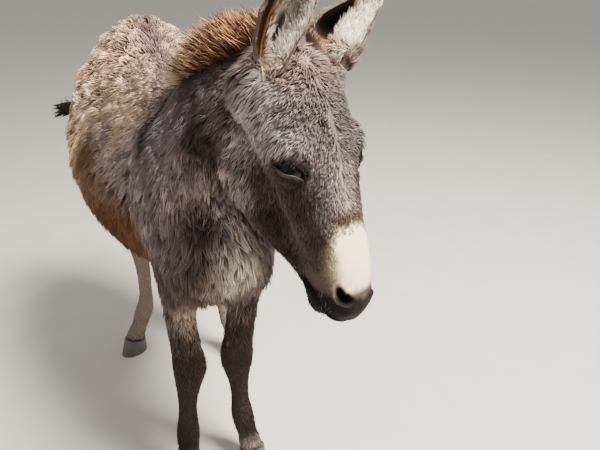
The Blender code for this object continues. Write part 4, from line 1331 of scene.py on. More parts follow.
@dataclass
class MarkingsAndPaintedLight:
    """The markings that both the skin and its coat carry, and the painted shade and highlights laid among
    them.
    """

    skin: Skin
    shell: Shell
    facts: dict[str, Array]
    seed: int = 3
    white_from: Pair = (0.288, 0.306)
    white_to: Pair = (0.398, 0.414)
    white_side: Pair = (0.01, 0.04)
    dark_from: Pair = (0.392, 0.408)
    lip_from: Pair = (0.345, 0.368)
    whorl: Pair = (0.119, -0.028)
    whorl_reach: Pair = (0.003, 0.009)
    lid_rim: Pair = (0.014, 0.025)
    lid_bare: Pair = (0.014, 0.019)
    below_lid: tuple[float, float, float, float] = (0.0, 0.0012, 0.003, 0.0052)
    tear: tuple[float, float, float, float] = (-0.038, -0.034, -0.026, -0.023)
    ball: float = 0.0238
    ear_coat: tuple[tuple[str, float], ...] = (
        ("length", 0.013), ("width", 0.0018), ("lift", 0.3), ("wave", 0.0004), ("depth", 0.002),
    )

    def tint(self, share: Array, hair: Hair) -> None:
        """Brings the colours towards a patch's own by a share at each point."""
        for label, colour in zip(("under", "tip"), hair.colours):
            self.facts[label] += (colour - self.facts[label]) * share[:, None]

    def paint(self) -> None:
        """Lays every marking, with the painted shade and highlights, over the blended coat."""
        self._stripes()
        self._face()
        for side in (1, -1):
            self._nostril(side)
        for side in (1, -1):
            self._eye(side)
        for node in EARS:
            self._ear(self.facts["part"] == PARTS.index(node), self.skin.ears[node])

    def _stripes(self) -> None:
        """The dark line down the back and the short stripe over the shoulders."""
        place = self.shell.points - self.skin.pose.shift
        across, up = np.abs(place[:, 0]), self.shell.normals[:, 2]
        body = self.facts["part"] == PARTS.index("trunk")
        line = (1 - smooth_step(0.014, 0.03, across)) * (up > 0.1) * body
        self.tint(line * smooth_step(0.0, 0.1, place[:, 1]) * 0.85, Hair.MAUVE)
        stripe = (1 - smooth_step(0.008, 0.014, np.abs(place[:, 1] - 0.013 + across))) * body
        stripe *= smooth_step(0.88, 0.92, place[:, 2])
        self.tint(stripe, Hair.BLACK)

    def _face(self) -> None:
        """The pale nose, the dark of its end and of the lower lip, and the whorl of the forehead."""
        along, out, left = self.facts["local"].T
        head = self.facts["part"] == HEAD
        ripple = 0.005 * np.sin(left * 160 + out * 90) + 0.004 * np.sin(along * 210 + left * 300)
        ripple += np.random.default_rng(self.seed).uniform(-0.003, 0.003, len(along))
        white = smooth_step(*self.white_from, along + ripple)
        white = white * (1 - smooth_step(*self.white_to, along - out * 0.35))
        sunk = -out + np.maximum(np.abs(left) - 0.034, 0) + ripple * 0.9
        white *= 1 - smooth_step(*self.white_side, sunk)
        self.tint(white * head, Hair.CREAM)
        self.facts["depth"] *= 1 - 0.9 * white * head
        self.facts["length"] *= 1 - 0.3 * white * head
        dark = smooth_step(*self.dark_from, along - (out + 0.05) * 0.55 + ripple * 0.5) * head
        self.tint(dark * 0.95, Hair.BLACK)
        mouth = out - self.skin.mouth_line(along)
        below = smooth_step(0.007, -0.001, mouth) * smooth_step(*self.lip_from, along)
        self.tint(below * head, Hair.BLACK)
        whorl = 1 - smooth_step(*self.whorl_reach, np.hypot(along - self.whorl[0], left - self.whorl[1]))
        self.tint(whorl * head * (out > -0.01), Hair.BLACK)
        self.facts["damp"] = np.clip(dark * 0.55, 0, 1)
        self.facts["bare"] |= ((along > 0.436) | ((np.abs(mouth) < 0.004) & (along > 0.375))) & head

    def _nostril(self, side: int) -> None:
        """The dark of one nostril, partly its dark skin and partly painted shade in its pit, and below it a
        pale edge that is a painted highlight on the fold of its rim.
        """
        head = self.facts["part"] == HEAD
        spot, hole = self.skin.nostril(self.facts["local"], side)
        beside = np.abs(spot[:, 2]) < 0.03
        # The nostril's dark is partly its dark skin and partly painted shade deep in its pit.
        dark = 1 - smooth_step(1.0, 1.8, hole + 0.5 * (spot[:, 0] < 0))
        self.tint(dark * beside * head, Hair.BLACK)
        # Painted highlight: a pale edge along the fold of part of the rim.
        pale = hump(hole - 1.2, 0.07) * (spot[:, 1] < -0.004) * (spot[:, 0] < 0.004) * beside
        self.tint(pale * head * 0.5, Hair.CURLS)
        self.facts["bare"] |= (hole < 1.25) & beside & head

    def _eye(self, side: int) -> None:
        """The dark rim of one eye, partly its dark lids and partly painted shadow of the brow, the slate fold
        and pale tear below it, and painted shade on the skin behind its ball.
        """
        centre, axes = self.skin.eye_axes(side)
        spot = (self.shell.points - centre) @ axes.T
        along, above, ahead = spot.T
        head = self.facts["part"] == HEAD
        front = (ahead > 0) & head
        # The dark round the slit is partly the dark skin of the lids and partly painted shadow of the brow.
        oval = np.hypot((along - 0.002) / 1.6, (above - 0.001) / 0.8)
        self.tint((1 - smooth_step(*self.lid_rim, oval)) * front, Hair.BLACK)
        self.facts["bare"] |= (1 - smooth_step(*self.lid_bare, oval) > 0.5) & front
        gap = np.interp(along, *np.array(self.skin.lid_low).T) - above
        band = between(*self.below_lid, gap) * smooth_step(0.026, 0.02, np.abs(along))
        self.tint(band * front * 0.8, Hair.SLATE)
        tear = hump(along - 0.007, 0.002, 4) * between(*self.tear, above)
        self.tint(tear * front * 0.6, Hair.BIB)
        # Painted shade: the skin that hugs the ball in its socket is made black.
        deep = (np.linalg.norm(spot, axis=1) < self.ball) & head
        self.tint(deep, Hair.BLACK)
        self.facts["damp"] = np.maximum(self.facts["damp"], deep * 0.8)
        self.facts["bare"] |= deep

    def _ear(self, ear: Array, pose: EarPose) -> None:
        """The colours of the points of one ear: brown back, dark tip, and the bands within, its dark band
        partly painted shadow of the rim, and painted shade along the slit.
        """
        across, share, hollow = pose.survey(self.shell)
        self.tint(ear, Hair.EAR_BACK)
        inside = ear & hollow & (share > 0.02)
        # Painted shade: the bands go nearly black along the slit, the deep fold where the fluff parts.
        slit = hump(across - pose.plan.slit, 0.26) * between(0.1, 0.2, 0.36, 0.5, share)
        bands = pose.bands(across, share) * (1 - 0.96 * slit[:, None])
        self.facts["tip"][inside] = bands[inside]
        self.facts["under"][inside] = bands[inside] * 0.75
        end = ear & (share > 0.72)
        self.facts["tip"][end] *= 0.5
        self.facts["under"][end] *= 0.6
        self.facts["bare"] |= inside
        way = np.sign(across)[:, None] * pose.axes[0] * 0.25 + pose.axes[2]
        self.facts["way"] = np.where(ear[:, None], way, self.facts["way"])
        for label, value in self.ear_coat:
            self.facts[label] = np.where(ear & (share > 0.05), value, self.facts[label])



class Region(Enum):
    """The pieces of the coat: name, number of tufts, tufts to a lock, and how far a lock draws together."""

    HEAD_LEFT = ("head_left", 12500, 6, 0.55)
    HEAD_RIGHT = ("head_right", 17500, 6, 0.55)
    NECK = ("neck", 15000, 9, 0.7)
    CHEST = ("chest", 12500, 9, 0.65)
    BARREL_LEFT = ("barrel_left", 12500, 9, 0.55)
    BARREL_RIGHT = ("barrel_right", 15800, 11, 0.62)
    RUMP_LEFT = ("rump_left", 13500, 12, 0.6)
    RUMP_RIGHT = ("rump_right", 12000, 17, 0.76)
    FORELEGS = ("forelegs", 12000, 5, 0.4)
    HINDLEGS = ("hindlegs", 9500, 5, 0.4)
    EARS = ("ears", 5500, 5, 0.3)


@dataclass
class Coat:
    """The coat: tufts that grow from the skin and lie as its spots say."""

    skin: Skin
    finishes: Finishes
    seed: int = 100
    patch: float = 0.003
    margin: float = 0.004
    rear_from: float = 0.1
    front_to: float = -0.165
    neck_from: float = 0.86
    crowding: float = 0.85
    calm_swing: float = 0.22
    wild_swing: float = 0.35
    drift: float = 0.2
    drift_waves: tuple[Triple, Triple] = ((61.0, 47.0, 83.0), (-37.0, 71.0, 29.0))
    tuft_shade: float = 0.18
    lock_shade: float = 0.28
    # How much lighter the tufts on the ridges and darker those in the hollows are painted, as painted light
    # and shade.
    ridge_painted_light: float = 0.75
    ridge_rise: float = 0.55
    ridge_run: Triple = (0.25, 1.0, -0.35)
    ridge_width: float = 0.017
    ridge_length: float = 0.055
    ridge_height: float = 1.8
    taper_at: tuple[float, ...] = (0, 0.3, 0.7, 1)
    taper: tuple[float, ...] = (0.55, 0.6, 0.38, 0.0)

    def make(self) -> list[Object]:
        """Grows every region of the coat."""
        self.long, self.short = Tuft((0.34, 0.7)), Tuft((0.45,))
        self.tree = search_tree(self.skin.shell.points)
        return [self._grow(number, region) for number, region in enumerate(Region)]

    def _mask(self, region: Region) -> Array:
        """Which points of the skin a region covers."""
        place = self.skin.shell.points
        on = {name: self.skin.values["part"] == number for number, name in enumerate(PARTS)}
        left = place[:, 0] > self.skin.pose.shift[0]
        rear, front = place[:, 1] > self.rear_from, place[:, 1] < self.front_to
        trunk, high = on["trunk"], place[:, 2] > self.neck_from
        head_left = self.skin.values["local"][:, 2] > 0
        return {
            Region.HEAD_LEFT: on["head"] & head_left,
            Region.HEAD_RIGHT: on["head"] & ~head_left,
            Region.NECK: on["neck"] | (trunk & front & high),
            Region.CHEST: trunk & front & ~high,
            Region.BARREL_LEFT: trunk & ~front & ~rear & left,
            Region.BARREL_RIGHT: trunk & ~front & ~rear & ~left,
            Region.RUMP_LEFT: trunk & rear & left,
            Region.RUMP_RIGHT: (trunk & rear & ~left) | on["tail"],
            Region.FORELEGS: on["foreleg_left"] | on["foreleg_right"],
            Region.HINDLEGS: on["hindleg_left"] | on["hindleg_right"],
            Region.EARS: on["ear_left"] | on["ear_right"],
        }[region]

    def _sow(self, mask: Array, count: int, random: Chance) -> Roots:
        """Roots over the masked skin, closer together where the coat is short and fine."""
        values, shell = self.skin.values, self.skin.shell
        faces = shell.faces[mask[shell.faces].all(1)]
        spread = (values["length"] * values["width"])[faces].mean(1).clip(1e-6) ** self.crowding
        total = np.cumsum(shell.sizes(faces) / spread)
        steps = (np.arange(count) + random.uniform(0, 1, count)) / count
        chosen = np.searchsorted(total, steps * total[-1] * 0.99999)
        return Roots(faces[chosen], random.dirichlet(EVEN, count))

    def _grow(self, number: int, region: Region) -> Object:
        """Grows one region.

        Args:
            number: the region's place in the order, which sets its chance.
            region: which part of the skin it covers.

        Returns:
            The piece.
        """
        random = np.random.default_rng(self.seed + number)
        label, count, herd, gather = region.value
        values, shell = self.skin.values, self.skin.shell
        roots = self._sow(self._mask(region) & ~values["bare"], count, random)
        root, normal, way = roots.at(shell.points), unit(roots.at(shell.normals)), roots.at(values["way"])
        way = unit(way - normal * (way * normal).sum(1, keepdims=True))
        lift, wave = roots.at(values["lift"]), roots.at(values["wave"])
        swing = self.calm_swing + self.wild_swing * smooth_step(0.55, 0.75, lift)
        first, second = self.drift_waves
        swing = swing * random.standard_normal(count)
        swing = swing + self.drift * np.sin(root @ first) * np.sin(root @ second)
        way = way * np.cos(swing)[:, None] + np.cross(normal, way) * np.sin(swing)[:, None]
        length = roots.at(values["length"]) * random.uniform(0.75, 1.25, count)
        leader = Locks.leaders(root, herd, random)
        shade, stand = random.standard_normal(count)[leader], random.uniform(0.65, 1.15, count)[leader]
        # Painted light: tufts on the raised ridges of the rump are lightened and those in the hollows between
        # them darkened.
        ridge = self._ridges(root) * smooth_step(0.004, 0.008, wave)
        tone = self.tuft_shade * random.standard_normal(count) + self.lock_shade * shade
        light = np.exp(smooth_step(0.004, 0.022, length) * tone + self.ridge_painted_light * ridge)[:, None]
        seen = [self.tree.find(place)[1] for place in root + way * (0.55 * length)[:, None]]
        width = roots.at(values["width"]) * random.uniform(0.7, 1.25, count)
        height = roots.at(values["depth"]) * random.uniform(0.7, 1.1, count) * stand
        height = np.minimum(height, length * np.sin(lift * 1.3)) * (1 + self.ridge_rise * ridge)
        locks = Locks(
            root=root, normal=normal, way=way, length=length, width=width, height=height, wave=wave,
            under=roots.at(values["under"]) * light**0.5, tip=values["tip"][seen] * light,
            leader=leader, gather=gather,
        )
        tuft = self.long if region is Region.RUMP_RIGHT else self.short
        return self.weave("coat_" + label, locks, tuft, random)

    def _ridges(self, root: Array) -> Array:
        """How far the coat rises or sinks at each root, in long ridges that follow the hair of the rump; the
        coat is also lightened on them and darkened between them as painted light and shade.
        """
        place = root * (np.sign(root[:, 0:1]) * (1, 0, 0) + (0, 1, 1))
        run = unit(np.array(self.ridge_run))
        stretch = 1 / self.ridge_length - 1 / self.ridge_width
        rows = place / self.ridge_width + run * (place @ run)[:, None] * stretch
        return np.array([noise.noise(Vector(row)) for row in rows]).clip(-0.6, 0.6) * self.ridge_height

    def _unwrap(self, root: Array) -> Array:
        """Each root's place on the piece's shape rolled flat about its long axis."""
        centre = root.mean(0)
        axes = np.linalg.svd(root - centre, full_matrices=False)[2]
        local = (root - centre) @ axes.T
        rows = np.stack((local[:, 0], np.arctan2(local[:, 2], local[:, 1])), axis=1)
        low, high = rows.min(0), rows.max(0)
        return self.margin + (1 - 2 * self.margin) * (rows - low) / (high - low)

    def weave(
        self, name: str, locks: Locks, tuft: Tuft, random: Chance,
        material: Material | None = None, slot: str = "grey_coat",
    ) -> Object:
        """One piece made of tufts.

        Args:
            name: the piece's name.
            locks: its tufts.
            tuft: the shape that is repeated.
            random: the source of chance.
            material: its finish, the coat's where none is given.
            slot: not used.

        Returns:
            The piece, riding on the body.
        """
        flat = self._unwrap(locks.root)
        count, levels, at = len(locks.root), tuft.levels, tuft.level
        line = locks.curves(levels, random)
        run = unit(np.gradient(line, axis=1))
        across = unit(np.cross(run, locks.normal[:, None]))
        up = unit(np.cross(across, run))
        wide = locks.width[:, None] * np.interp(levels, self.taper_at, self.taper)[None, :]
        points = (
            line[:, at]
            + across[:, at] * (wide[:, at] * tuft.ring[None, :, 0])[..., None]
            + up[:, at] * (wide[:, at] * locks.flat * tuft.ring[None, :, 1])[..., None]
        )
        faces = tuft.faces[None] + (np.arange(count) * len(at))[:, None, None]
        mesh = Painter.mesh(name, points.reshape(-1, 3), faces.reshape(-1, 3))
        # Each tuft runs from the darker root colour to the tip colour; the darker roots are partly the hair's
        # own base and partly painted shade deep in the coat.
        blend = smooth_step(0.15, 0.9, levels[at])[None, :, None] * random.uniform(0.65, 1.1, (count, 1, 1))
        colour = locks.under[:, None] * (1 - blend.clip(0, 1)) + locks.tip[:, None] * blend.clip(0, 1)
        Painter.colour(mesh, colour.reshape(-1, 3))
        corner = np.stack((tuft.ring[:, 0] * 0.5, levels[at] - 0.5), axis=1)
        Painter.map(mesh, (flat[:, None] + corner[None] * self.patch).reshape(-1, 2), "OFBake")
        apart = corner[None, :, 0] + 7 * flat[:, 0:1] + np.arange(count)[:, None] * 0.37
        strand = np.stack((apart, corner[None, :, 1] + flat[:, 1:2] * 3), axis=-1)
        Painter.map(mesh, strand.reshape(-1, 2), "strand")
        piece = Maker.hang(name, mesh)
        mesh.materials.append(material or self.finishes.coat)
        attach(piece, BODY)
        log.info("%s: %d tufts", name, count)
        return piece


@dataclass
class Mane:
    """The upright mane along the crest, and its long hair behind the ears."""

    coat: Coat
    seed: int = 7
    count: int = 4800
    herd: int = 6
    voxel: float = 0.006
    core: float = 0.007
    top_down: float = 0.012
    base_up: float = 0.02
    length: Pair = (0.03, 0.066)
    width: Pair = (0.0013, 0.0024)
    rear_way: Triple = (-0.45, 1.0, 0.15)
    front_turn: Triple = (0.1, -0.2, 0.65)

    def make(self) -> Object:
        """Grows the mane from a core cast from its node."""
        random = np.random.default_rng(self.seed)
        low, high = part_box("mane")
        core = self._core()
        shell = Shell.read(core.data)
        roots = shell.sown(shell.faces, self.count, random)
        root, normal = roots.at(shell.points), unit(roots.at(shell.normals))
        rise = ((root[:, 2] - low.z) / (high.z - low.z)).clip(0, 1)
        front = ((high.y - root[:, 1]) / (high.y - low.y)).clip(0, 1)
        way = np.array(self.rear_way) + np.array(self.front_turn) * front[:, None]
        way = unit(way + 0.22 * random.standard_normal((self.count, 3)) + normal * 0.25)
        warm = smooth_step(0.8, 0.1, front)[:, None]
        under = MANE_DARK + (MANE_GINGER * 0.5 - MANE_DARK) * (rise[:, None] ** 2) * warm
        ginger = MANE_GINGER * 0.85
        tip = ginger + (MANE_PALE - ginger) * warm * random.uniform(0.4, 1.0, (self.count, 1))
        tip = np.where(random.uniform(0, 1, (self.count, 1)) < 0.45 - 0.3 * warm, MANE_DARK * 2.5, tip)
        locks = Locks(
            root=root, normal=normal, way=way, length=random.uniform(*self.length, self.count),
            width=random.uniform(*self.width, self.count), height=np.full(self.count, 0.003),
            wave=np.full(self.count, 0.004), under=under, tip=tip,
            leader=Locks.leaders(root, self.herd, random), droop=0.05, gather=0.5,
        )
        finishes = self.coat.finishes
        piece = self.coat.weave("mane_hair", locks, self.coat.long, random, finishes.mane, "dark_hair")
        Painter.colour(core.data, np.tile(MANE_DARK, (len(shell.points), 1)))
        Maker.cover(core.data, finishes.skin)
        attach(core, BODY)
        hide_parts("mane")
        return piece

    def _core(self) -> Object:
        """The dark heart of the mane, cast from its node and drawn in."""
        core = Maker.cast("mane_core", ("mane",), self.voxel, 0.0, 2)
        shell = Shell.read(core.data)
        up = shell.normals[:, 2]
        points = shell.points - unit(shell.spread(shell.normals, 3)) * self.core
        points[:, 2] -= self.top_down * smooth_step(-0.2, 0.8, up) + self.base_up * smooth_step(0.2, 0.9, -up)
        Maker.move(core, points)
        return core


@dataclass(frozen=True)
class Brush:
    """How one kind of loose hair lies: its slot, how it shares locks, hangs and sways."""

    slot: str
    herd: int
    gather: float
    droop: float = 0.1
    wave: float = 0.0015


@dataclass(frozen=True)
class LashRow:
    """One row of hairs over an upper lid: how far above its edge, how it points, its size and its colour."""

    above: float
    ahead: float
    drop: float
    length: float
    hair: Hair


@dataclass
class Trims:
    """The long loose hair: the fluff of the ears, the tail's tuft, the lashes and the whiskers."""

    coat: Coat
    seeds: tuple[int, ...] = (21, 31, 41, 51)
    fluff: int = 3600
    fluff_brush: Brush = Brush("grey_coat", 6, 0.5)
    fluff_cream: Triple = (0.0, 0.16, 0.36)
    tail: int = 1500
    tail_brush: Brush = Brush("dark_hair", 7, 0.5, 0.05)
    tail_path: tuple[Triple, ...] = (
        (-0.008, 0.712, 0.912), (-0.045, 0.742, 0.866), (-0.11, 0.758, 0.836), (-0.18, 0.748, 0.826),
        (-0.23, 0.728, 0.824),
    )
    tail_radius: float = 0.011
    lashes: int = 70
    lash_width: float = 0.0009
    lash_brush: Brush = Brush("dark_hair", 3, 0.3, 0.15, 0.0006)
    lash_rows: tuple[LashRow, ...] = (
        LashRow(0.0006, 0.9, -0.7, 0.012, Hair.BLACK),
        LashRow(0.006, 0.45, -1.0, 0.014, Hair.FOREHEAD),
    )
    whiskers: int = 130
    whisker_brush: Brush = Brush("dark_hair", 4, 0.1)
    whisker_pale: Triple = (0.42, 0.36, 0.3)
    whisker_dark: Triple = (0.02, 0.016, 0.014)

    def make(self) -> None:
        """Grows every trim."""
        fluff, tail, lashes, whiskers = self.seeds
        for number, node in enumerate(EARS):
            self._fluff(node, np.random.default_rng(fluff + number))
        self._tail(np.random.default_rng(tail))
        self._lashes(np.random.default_rng(lashes))
        self._whiskers(np.random.default_rng(whiskers))

    def _hair(
        self, name: str, brush: Brush, random: Chance, root: Array, way: Array,
        length: Array, width: Array, under: Array, tip: Array,
    ) -> Object:
        """One piece of loose hair.

        Args:
            name: the piece's name.
            brush: how its kind of hair lies.
            random: the source of chance.
            root: where each hair starts.
            way: where each hair goes.
            length: how long each is.
            width: how wide each is.
            under: its colour at the root.
            tip: its colour at the tip.

        Returns:
            The piece.
        """
        way = unit(way)
        normal = unit(np.cross(way, np.cross(random.standard_normal(way.shape), way)))
        locks = Locks(
            root=root, normal=normal, way=way, length=length, width=width, height=np.full(len(root), 0.0012),
            wave=np.full(len(root), brush.wave), under=under, tip=tip,
            leader=Locks.leaders(root, brush.herd, random), droop=brush.droop, gather=brush.gather, flat=0.7,
        )
        return self.coat.weave(name, locks, self.coat.short, random, self.coat.finishes.mane, brush.slot)

    def _fluff(self, node: str, random: Chance) -> None:
        """The pale fluff that fills the hollow of one ear, greyed with painted shade towards its slit."""
        skin, pose = self.coat.skin, self.coat.skin.ears[node]
        shell, slit = skin.shell, pose.plan.slit
        across, share, hollow = pose.survey(shell)
        paint = pose.bands(across, share)
        keep = hollow & (skin.values["part"] == PARTS.index(node)) & (share > -0.04) & (share < 0.86)
        keep &= (paint.min(1) > 0.09) & ((np.abs(across - slit) > 0.28) | (share > 0.4) | (share < 0.14))
        roots = shell.sown(shell.faces[keep[shell.faces].all(1)], self.fluff, random)
        root, at, high = roots.at(shell.points), roots.at(across), roots.at(share)
        lean = np.sign(slit - at) * 0.3
        rise = (1 - 1.8 * smooth_step(0.2, 0.04, high))[:, None]
        way = pose.axes[2] * rise + pose.axes[0] * lean[:, None] + pose.axes[1] * 0.45
        way = way + 0.16 * random.standard_normal(root.shape)
        length = random.uniform(0.018, 0.034, self.fluff) * (1.1 - 0.7 * high)
        # Painted shade: the fluff turns grey towards the slit, deep in the hollow.
        slit_shade = smooth_step(0.2, 0.36, high) * smooth_step(0.85, 0.45, np.abs(at - slit))
        grey = (random.uniform(0, 1, self.fluff) < 0.1 + 0.85 * slit_shade)[:, None]
        cream = smooth_step(0.2, 0.06, high)[:, None] * np.array(self.fluff_cream)
        white = np.array(EAR_WHITE) * (1 - cream) * random.uniform(0.85, 1.02, (self.fluff, 1))
        tip = np.where(grey, np.array(EAR_GREY) * 0.5, white)
        width = random.uniform(0.0009, 0.0016, self.fluff)
        under = roots.at(paint) * 0.8
        self._hair(node + "_fluff", self.fluff_brush, random, root, way, length, width, under, tip)

    def _tail(self, random: Chance) -> None:
        """The dark pointed tuft that hides the tail."""
        low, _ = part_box("tail")
        path = np.array(self.tail_path) + self.coat.skin.pose.shift
        share = random.uniform(0, 1, self.tail) ** 0.8 * (len(path) - 1)
        step = np.floor(share).astype(int).clip(0, len(path) - 2)
        part = (share - step)[:, None]
        root = path[step] * (1 - part) + path[step + 1] * part
        run = unit(path[step + 1] - path[step])
        spread = random.standard_normal(root.shape)
        spread = unit(spread - run * (spread * run).sum(1, keepdims=True))
        root = root + spread * self.tail_radius
        way = run + spread * 0.16 + 0.05 * random.standard_normal(root.shape)
        length = random.uniform(0.035, 0.06, self.tail)
        room = (root[:, 0] - low.x + 0.006) / np.abs(unit(way)[:, 0]).clip(0.3)
        length = np.minimum(length, np.maximum(0.02, room))
        dark, light = Hair.TAIL.colours
        tip = light * random.uniform(0.6, 1.6, (self.tail, 1))
        width = random.uniform(0.0016, 0.0028, self.tail)
        under = np.tile(dark, (self.tail, 1))
        self._hair("tail_hair", self.tail_brush, random, root, way, length, width, under, tip)

    def _lashes(self, random: Chance) -> None:
        """The lashes of each upper lid, and the pale hairs of the brow that hang over it."""
        skin, count = self.coat.skin, self.lashes
        roots, ways, lengths, tips = [], [], [], []
        for side in (1, -1):
            centre, axes = skin.eye_axes(side)
            for row in self.lash_rows:
                share = random.uniform(-0.98, 0.15, count)
                x, y = skin.lid_line(share, True)
                y = y + row.above + random.uniform(-0.002, 0.003, count)
                z = np.sqrt(np.maximum(skin.lid_radius**2 - x**2 - y**2, 1e-5)) + 0.0008
                roots.append(centre + np.stack((x, y, z), 1) @ axes)
                way = np.stack((share * 0.25 - 0.35, np.full(count, row.drop), np.full(count, row.ahead)), 1)
                ways.append((way + 0.12 * random.standard_normal(way.shape)) @ axes)
                lengths.append(random.uniform(0.7, 1.2, count) * row.length)
                tips.append(np.tile(row.hair.colours[1], (count, 1)) * random.uniform(0.3, 1.3, (count, 1)))
        root, way, length, tip = (np.concatenate(rows) for rows in (roots, ways, lengths, tips))
        width = np.full(len(root), self.lash_width)
        self._hair("lashes", self.lash_brush, random, root, way, length, width, tip * 0.4, tip)

    def _whiskers(self, random: Chance) -> None:
        """The stiff hairs of the chin and the lips."""
        skin = self.coat.skin
        along, out, _ = skin.values["local"].T
        fit = (along > 0.385) & (out < -0.055) & (skin.values["part"] == HEAD)
        chosen = random.choice(np.flatnonzero(fit), self.whiskers, replace=False)
        root, normal = skin.shell.points[chosen], skin.shell.normals[chosen]
        way = normal + skin.pose.turn(np.array((0.5, -0.2, 0.0))) + 0.3 * random.standard_normal(root.shape)
        pale = (random.uniform(0, 1, len(root)) < 0.6)[:, None]
        tip = np.where(pale, self.whisker_pale, self.whisker_dark)
        length, width = random.uniform(0.006, 0.016, len(root)), np.full(len(root), 0.0005)
        self._hair("whiskers", self.whisker_brush, random, root, way, length, width, tip * 0.5, tip)


@dataclass
class Eyes:
    """The two eyeballs, each with a bulging cornea and a level pupil, and the rims of their lids."""

    skin: Skin
    finishes: Finishes
    radius: float = 0.0225
    cornea: float = 0.0012
    cornea_reach: float = 0.014
    pupil_half: Pair = (0.0085, 0.0045)
    iris: Triple = (0.0045, 0.0032, 0.0028)
    pupil: Triple = (0.002, 0.002, 0.0026)
    white: Triple = (0.007, 0.005, 0.0045)
    rim: float = 0.0015
    rim_dark: Triple = (0.008, 0.006, 0.006)
    rim_paler: Triple = (0.042, 0.034, 0.029)

    def make(self) -> None:
        """Builds both eyes in place of the CAD ones."""
        for side, node in ((1, "eye_left"), (-1, "eye_right")):
            ball = self._ball(side, node)
            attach(ball, BODY)
            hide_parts(node)
            log.info("%s: %d faces", ball.name, len(ball.data.polygons))
            rims = self._rims(side, node)
            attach(rims, BODY)

    def _ball(self, side: int, node: str) -> Object:
        """One eyeball, 1 for the left and -1 for the right, with its iris, pupil and white as colours."""
        shape = bmesh.new()
        bmesh.ops.create_uvsphere(shape, u_segments=48, v_segments=32, radius=self.radius)
        for corner in shape.verts:
            share = 1 - min(1.0, math.hypot(corner.co.x, corner.co.y) / self.cornea_reach)
            if corner.co.z > 0:
                corner.co += corner.co.normalized() * self.cornea * share
        x, y, z = np.array([corner.co[:] for corner in shape.verts]).T
        self.skin.into_place(shape, side)
        mesh = Maker.pour(node + "_ball", shape)
        Maker.smooth(mesh)
        reach = np.hypot(x, y)
        pupil = 1 - smooth_step(0.9, 1.1, np.hypot(x / self.pupil_half[0], y / self.pupil_half[1]))
        iris = np.array(self.iris) * (1 + 0.8 * smooth_step(0.004, 0.012, reach))[:, None]
        colour = iris * (1 - pupil[:, None]) + np.array(self.pupil) * pupil[:, None]
        white = smooth_step(0.015, 0.0175, reach) + (z < 0)
        Painter.colour(mesh, colour + (np.array(self.white) - colour) * white.clip(0, 1)[:, None])
        mesh.materials.append(self.finishes.eye)
        return Maker.hang(node + "_ball", mesh)

    def _rims(self, side: int, node: str) -> Object:
        """The bare edges of the lids of one eye, as a thin rounded band."""
        centre, axes = self.skin.eye_axes(side)
        turn = np.linspace(0, 2 * math.pi, 72, endpoint=False)
        x, y = self.skin.lid_line(np.cos(turn), np.sin(turn) > 0)
        skin = (self.skin.shell.points - centre) @ axes.T
        near = skin[(skin[:, 2] > 0.004) & (np.hypot(skin[:, 0], skin[:, 1]) < 0.045)]
        gaps = [(near[:, 0] - a) ** 2 + (near[:, 1] - b) ** 2 for a, b in zip(x, y)]
        z = np.array([near[np.argsort(gap)[:6], 2].max() for gap in gaps])
        path = np.stack((x, y, z + 0.0001), 1)
        for _ in range(3):
            path = (np.roll(path, 1, 0) + path * 2 + np.roll(path, -1, 0)) / 4
        path = centre + path @ axes
        line = bpy.data.curves.new(node + "_rim", "CURVE")
        line.dimensions, line.bevel_depth, line.bevel_resolution = "3D", self.rim, 3
        spline = line.splines.new("POLY")
        spline.points.add(len(path) - 1)
        rows = np.column_stack((path, np.ones(len(path))))
        spline.points.foreach_set("co", rows.astype(np.float32).ravel())
        spline.use_cyclic_u = True
        thing = Maker.hang(node + "_rim_line", line)
        mesh = Maker.settled(thing)
        bpy.data.objects.remove(thing)
        along, above, _ = ((Shell.read(mesh).points - centre) @ axes.T).T
        pale = smooth_step(-0.001, -0.004, above) * smooth_step(0.028, 0.02, along)
        Painter.colour(mesh, np.array(self.rim_dark) + np.array(self.rim_paler) * pale[:, None])
        Painter.damp(mesh, np.zeros(len(pale)))
        Maker.cover(mesh, self.finishes.skin)
        Maker.smooth(mesh)
        return Maker.hang(node + "_lid_rims", mesh)


@dataclass(frozen=True)
class Lamp:
    """One square soft light that looks at a place."""

    name: str
    place: Triple
    aim: Triple
    power: float
    size: float

    def make(self) -> None:
        """Hangs the light."""
        lamp = bpy.data.lights.new(self.name, "AREA")
        lamp.energy, lamp.size = self.power, self.size
        thing = Maker.hang(self.name, lamp)
        thing.location = self.place
        thing.rotation_euler = (Vector(self.aim) - Vector(self.place)).to_track_quat("-Z", "Y").to_euler()


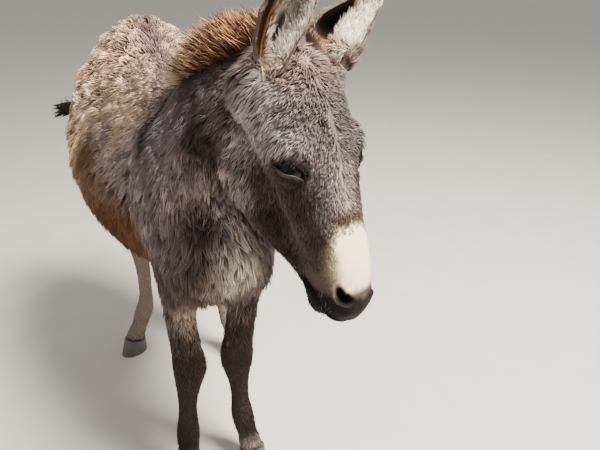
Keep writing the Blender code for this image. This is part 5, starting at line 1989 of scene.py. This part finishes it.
@dataclass
class Studio:
    """The floor, the soft lights and the camera."""

    finishes: Finishes
    floor: float = 60.0
    key: Lamp = Lamp("key", (1.1, -1.35, 3.6), (0.0, -0.1, 0.8), 520.0, 1.2)
    fill: Lamp = Lamp("fill", (-2.2, -1.2, 1.9), (0.0, 0.0, 0.8), 12.0, 2.0)
    sky: Triple = (0.93, 0.95, 1.0)
    sky_strength: float = 0.56
    eye: Triple = (-0.2451, -1.2955, 1.237)
    yaw: float = 22.7
    down: float = 25.5
    lens: float = 33.0
    sensor: float = 36.0

    def make(self) -> None:
        """Sets the stage."""
        shape = bmesh.new()
        bmesh.ops.create_grid(shape, x_segments=2, y_segments=2, size=self.floor)
        floor = Maker.hang("floor", Maker.pour("floor", shape))
        floor.data.materials.append(self.finishes.floor)
        self.key.make()
        self.fill.make()
        world = bpy.context.scene.world or bpy.data.worlds.new("studio")
        bpy.context.scene.world = world
        world.use_nodes = True
        inputs = world.node_tree.nodes["Background"].inputs
        inputs["Color"].default_value = (*self.sky, 1)
        inputs["Strength"].default_value = self.sky_strength
        camera = bpy.data.cameras.new("camera")
        camera.lens, camera.sensor_width = self.lens, self.sensor
        thing = Maker.hang("camera", camera)
        thing.location = self.eye
        thing.rotation_euler = (math.radians(90 - self.down), 0, math.radians(-self.yaw))
        bpy.context.scene.camera = thing


def main() -> None:
    """Builds the donkey's looks in order."""
    logging.basicConfig(level=logging.INFO, format="%(message)s")
    pose = HeadPose.found()
    finishes = Finishes()
    Studio(finishes).make()
    skin = Skin(pose, {node: EarPose.found(pose, plan) for node, plan in EAR_PLANS.items()})
    hide = skin.make()
    Maker.cover(hide.data, finishes.skin)
    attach(hide, BODY)
    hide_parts(*FLESH, *EARS)
    log.info("skin: %d triangles", len(skin.shell.faces))
    coat = Coat(skin, finishes)
    coat.make()
    Mane(coat).make()
    Trims(coat).make()
    Eyes(skin, finishes).make()
    for name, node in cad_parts.items():
        if name.startswith("hoof"):
            node.data.materials.clear()
            node.data.materials.append(finishes.horn)


if __name__ == "__main__":
    main()
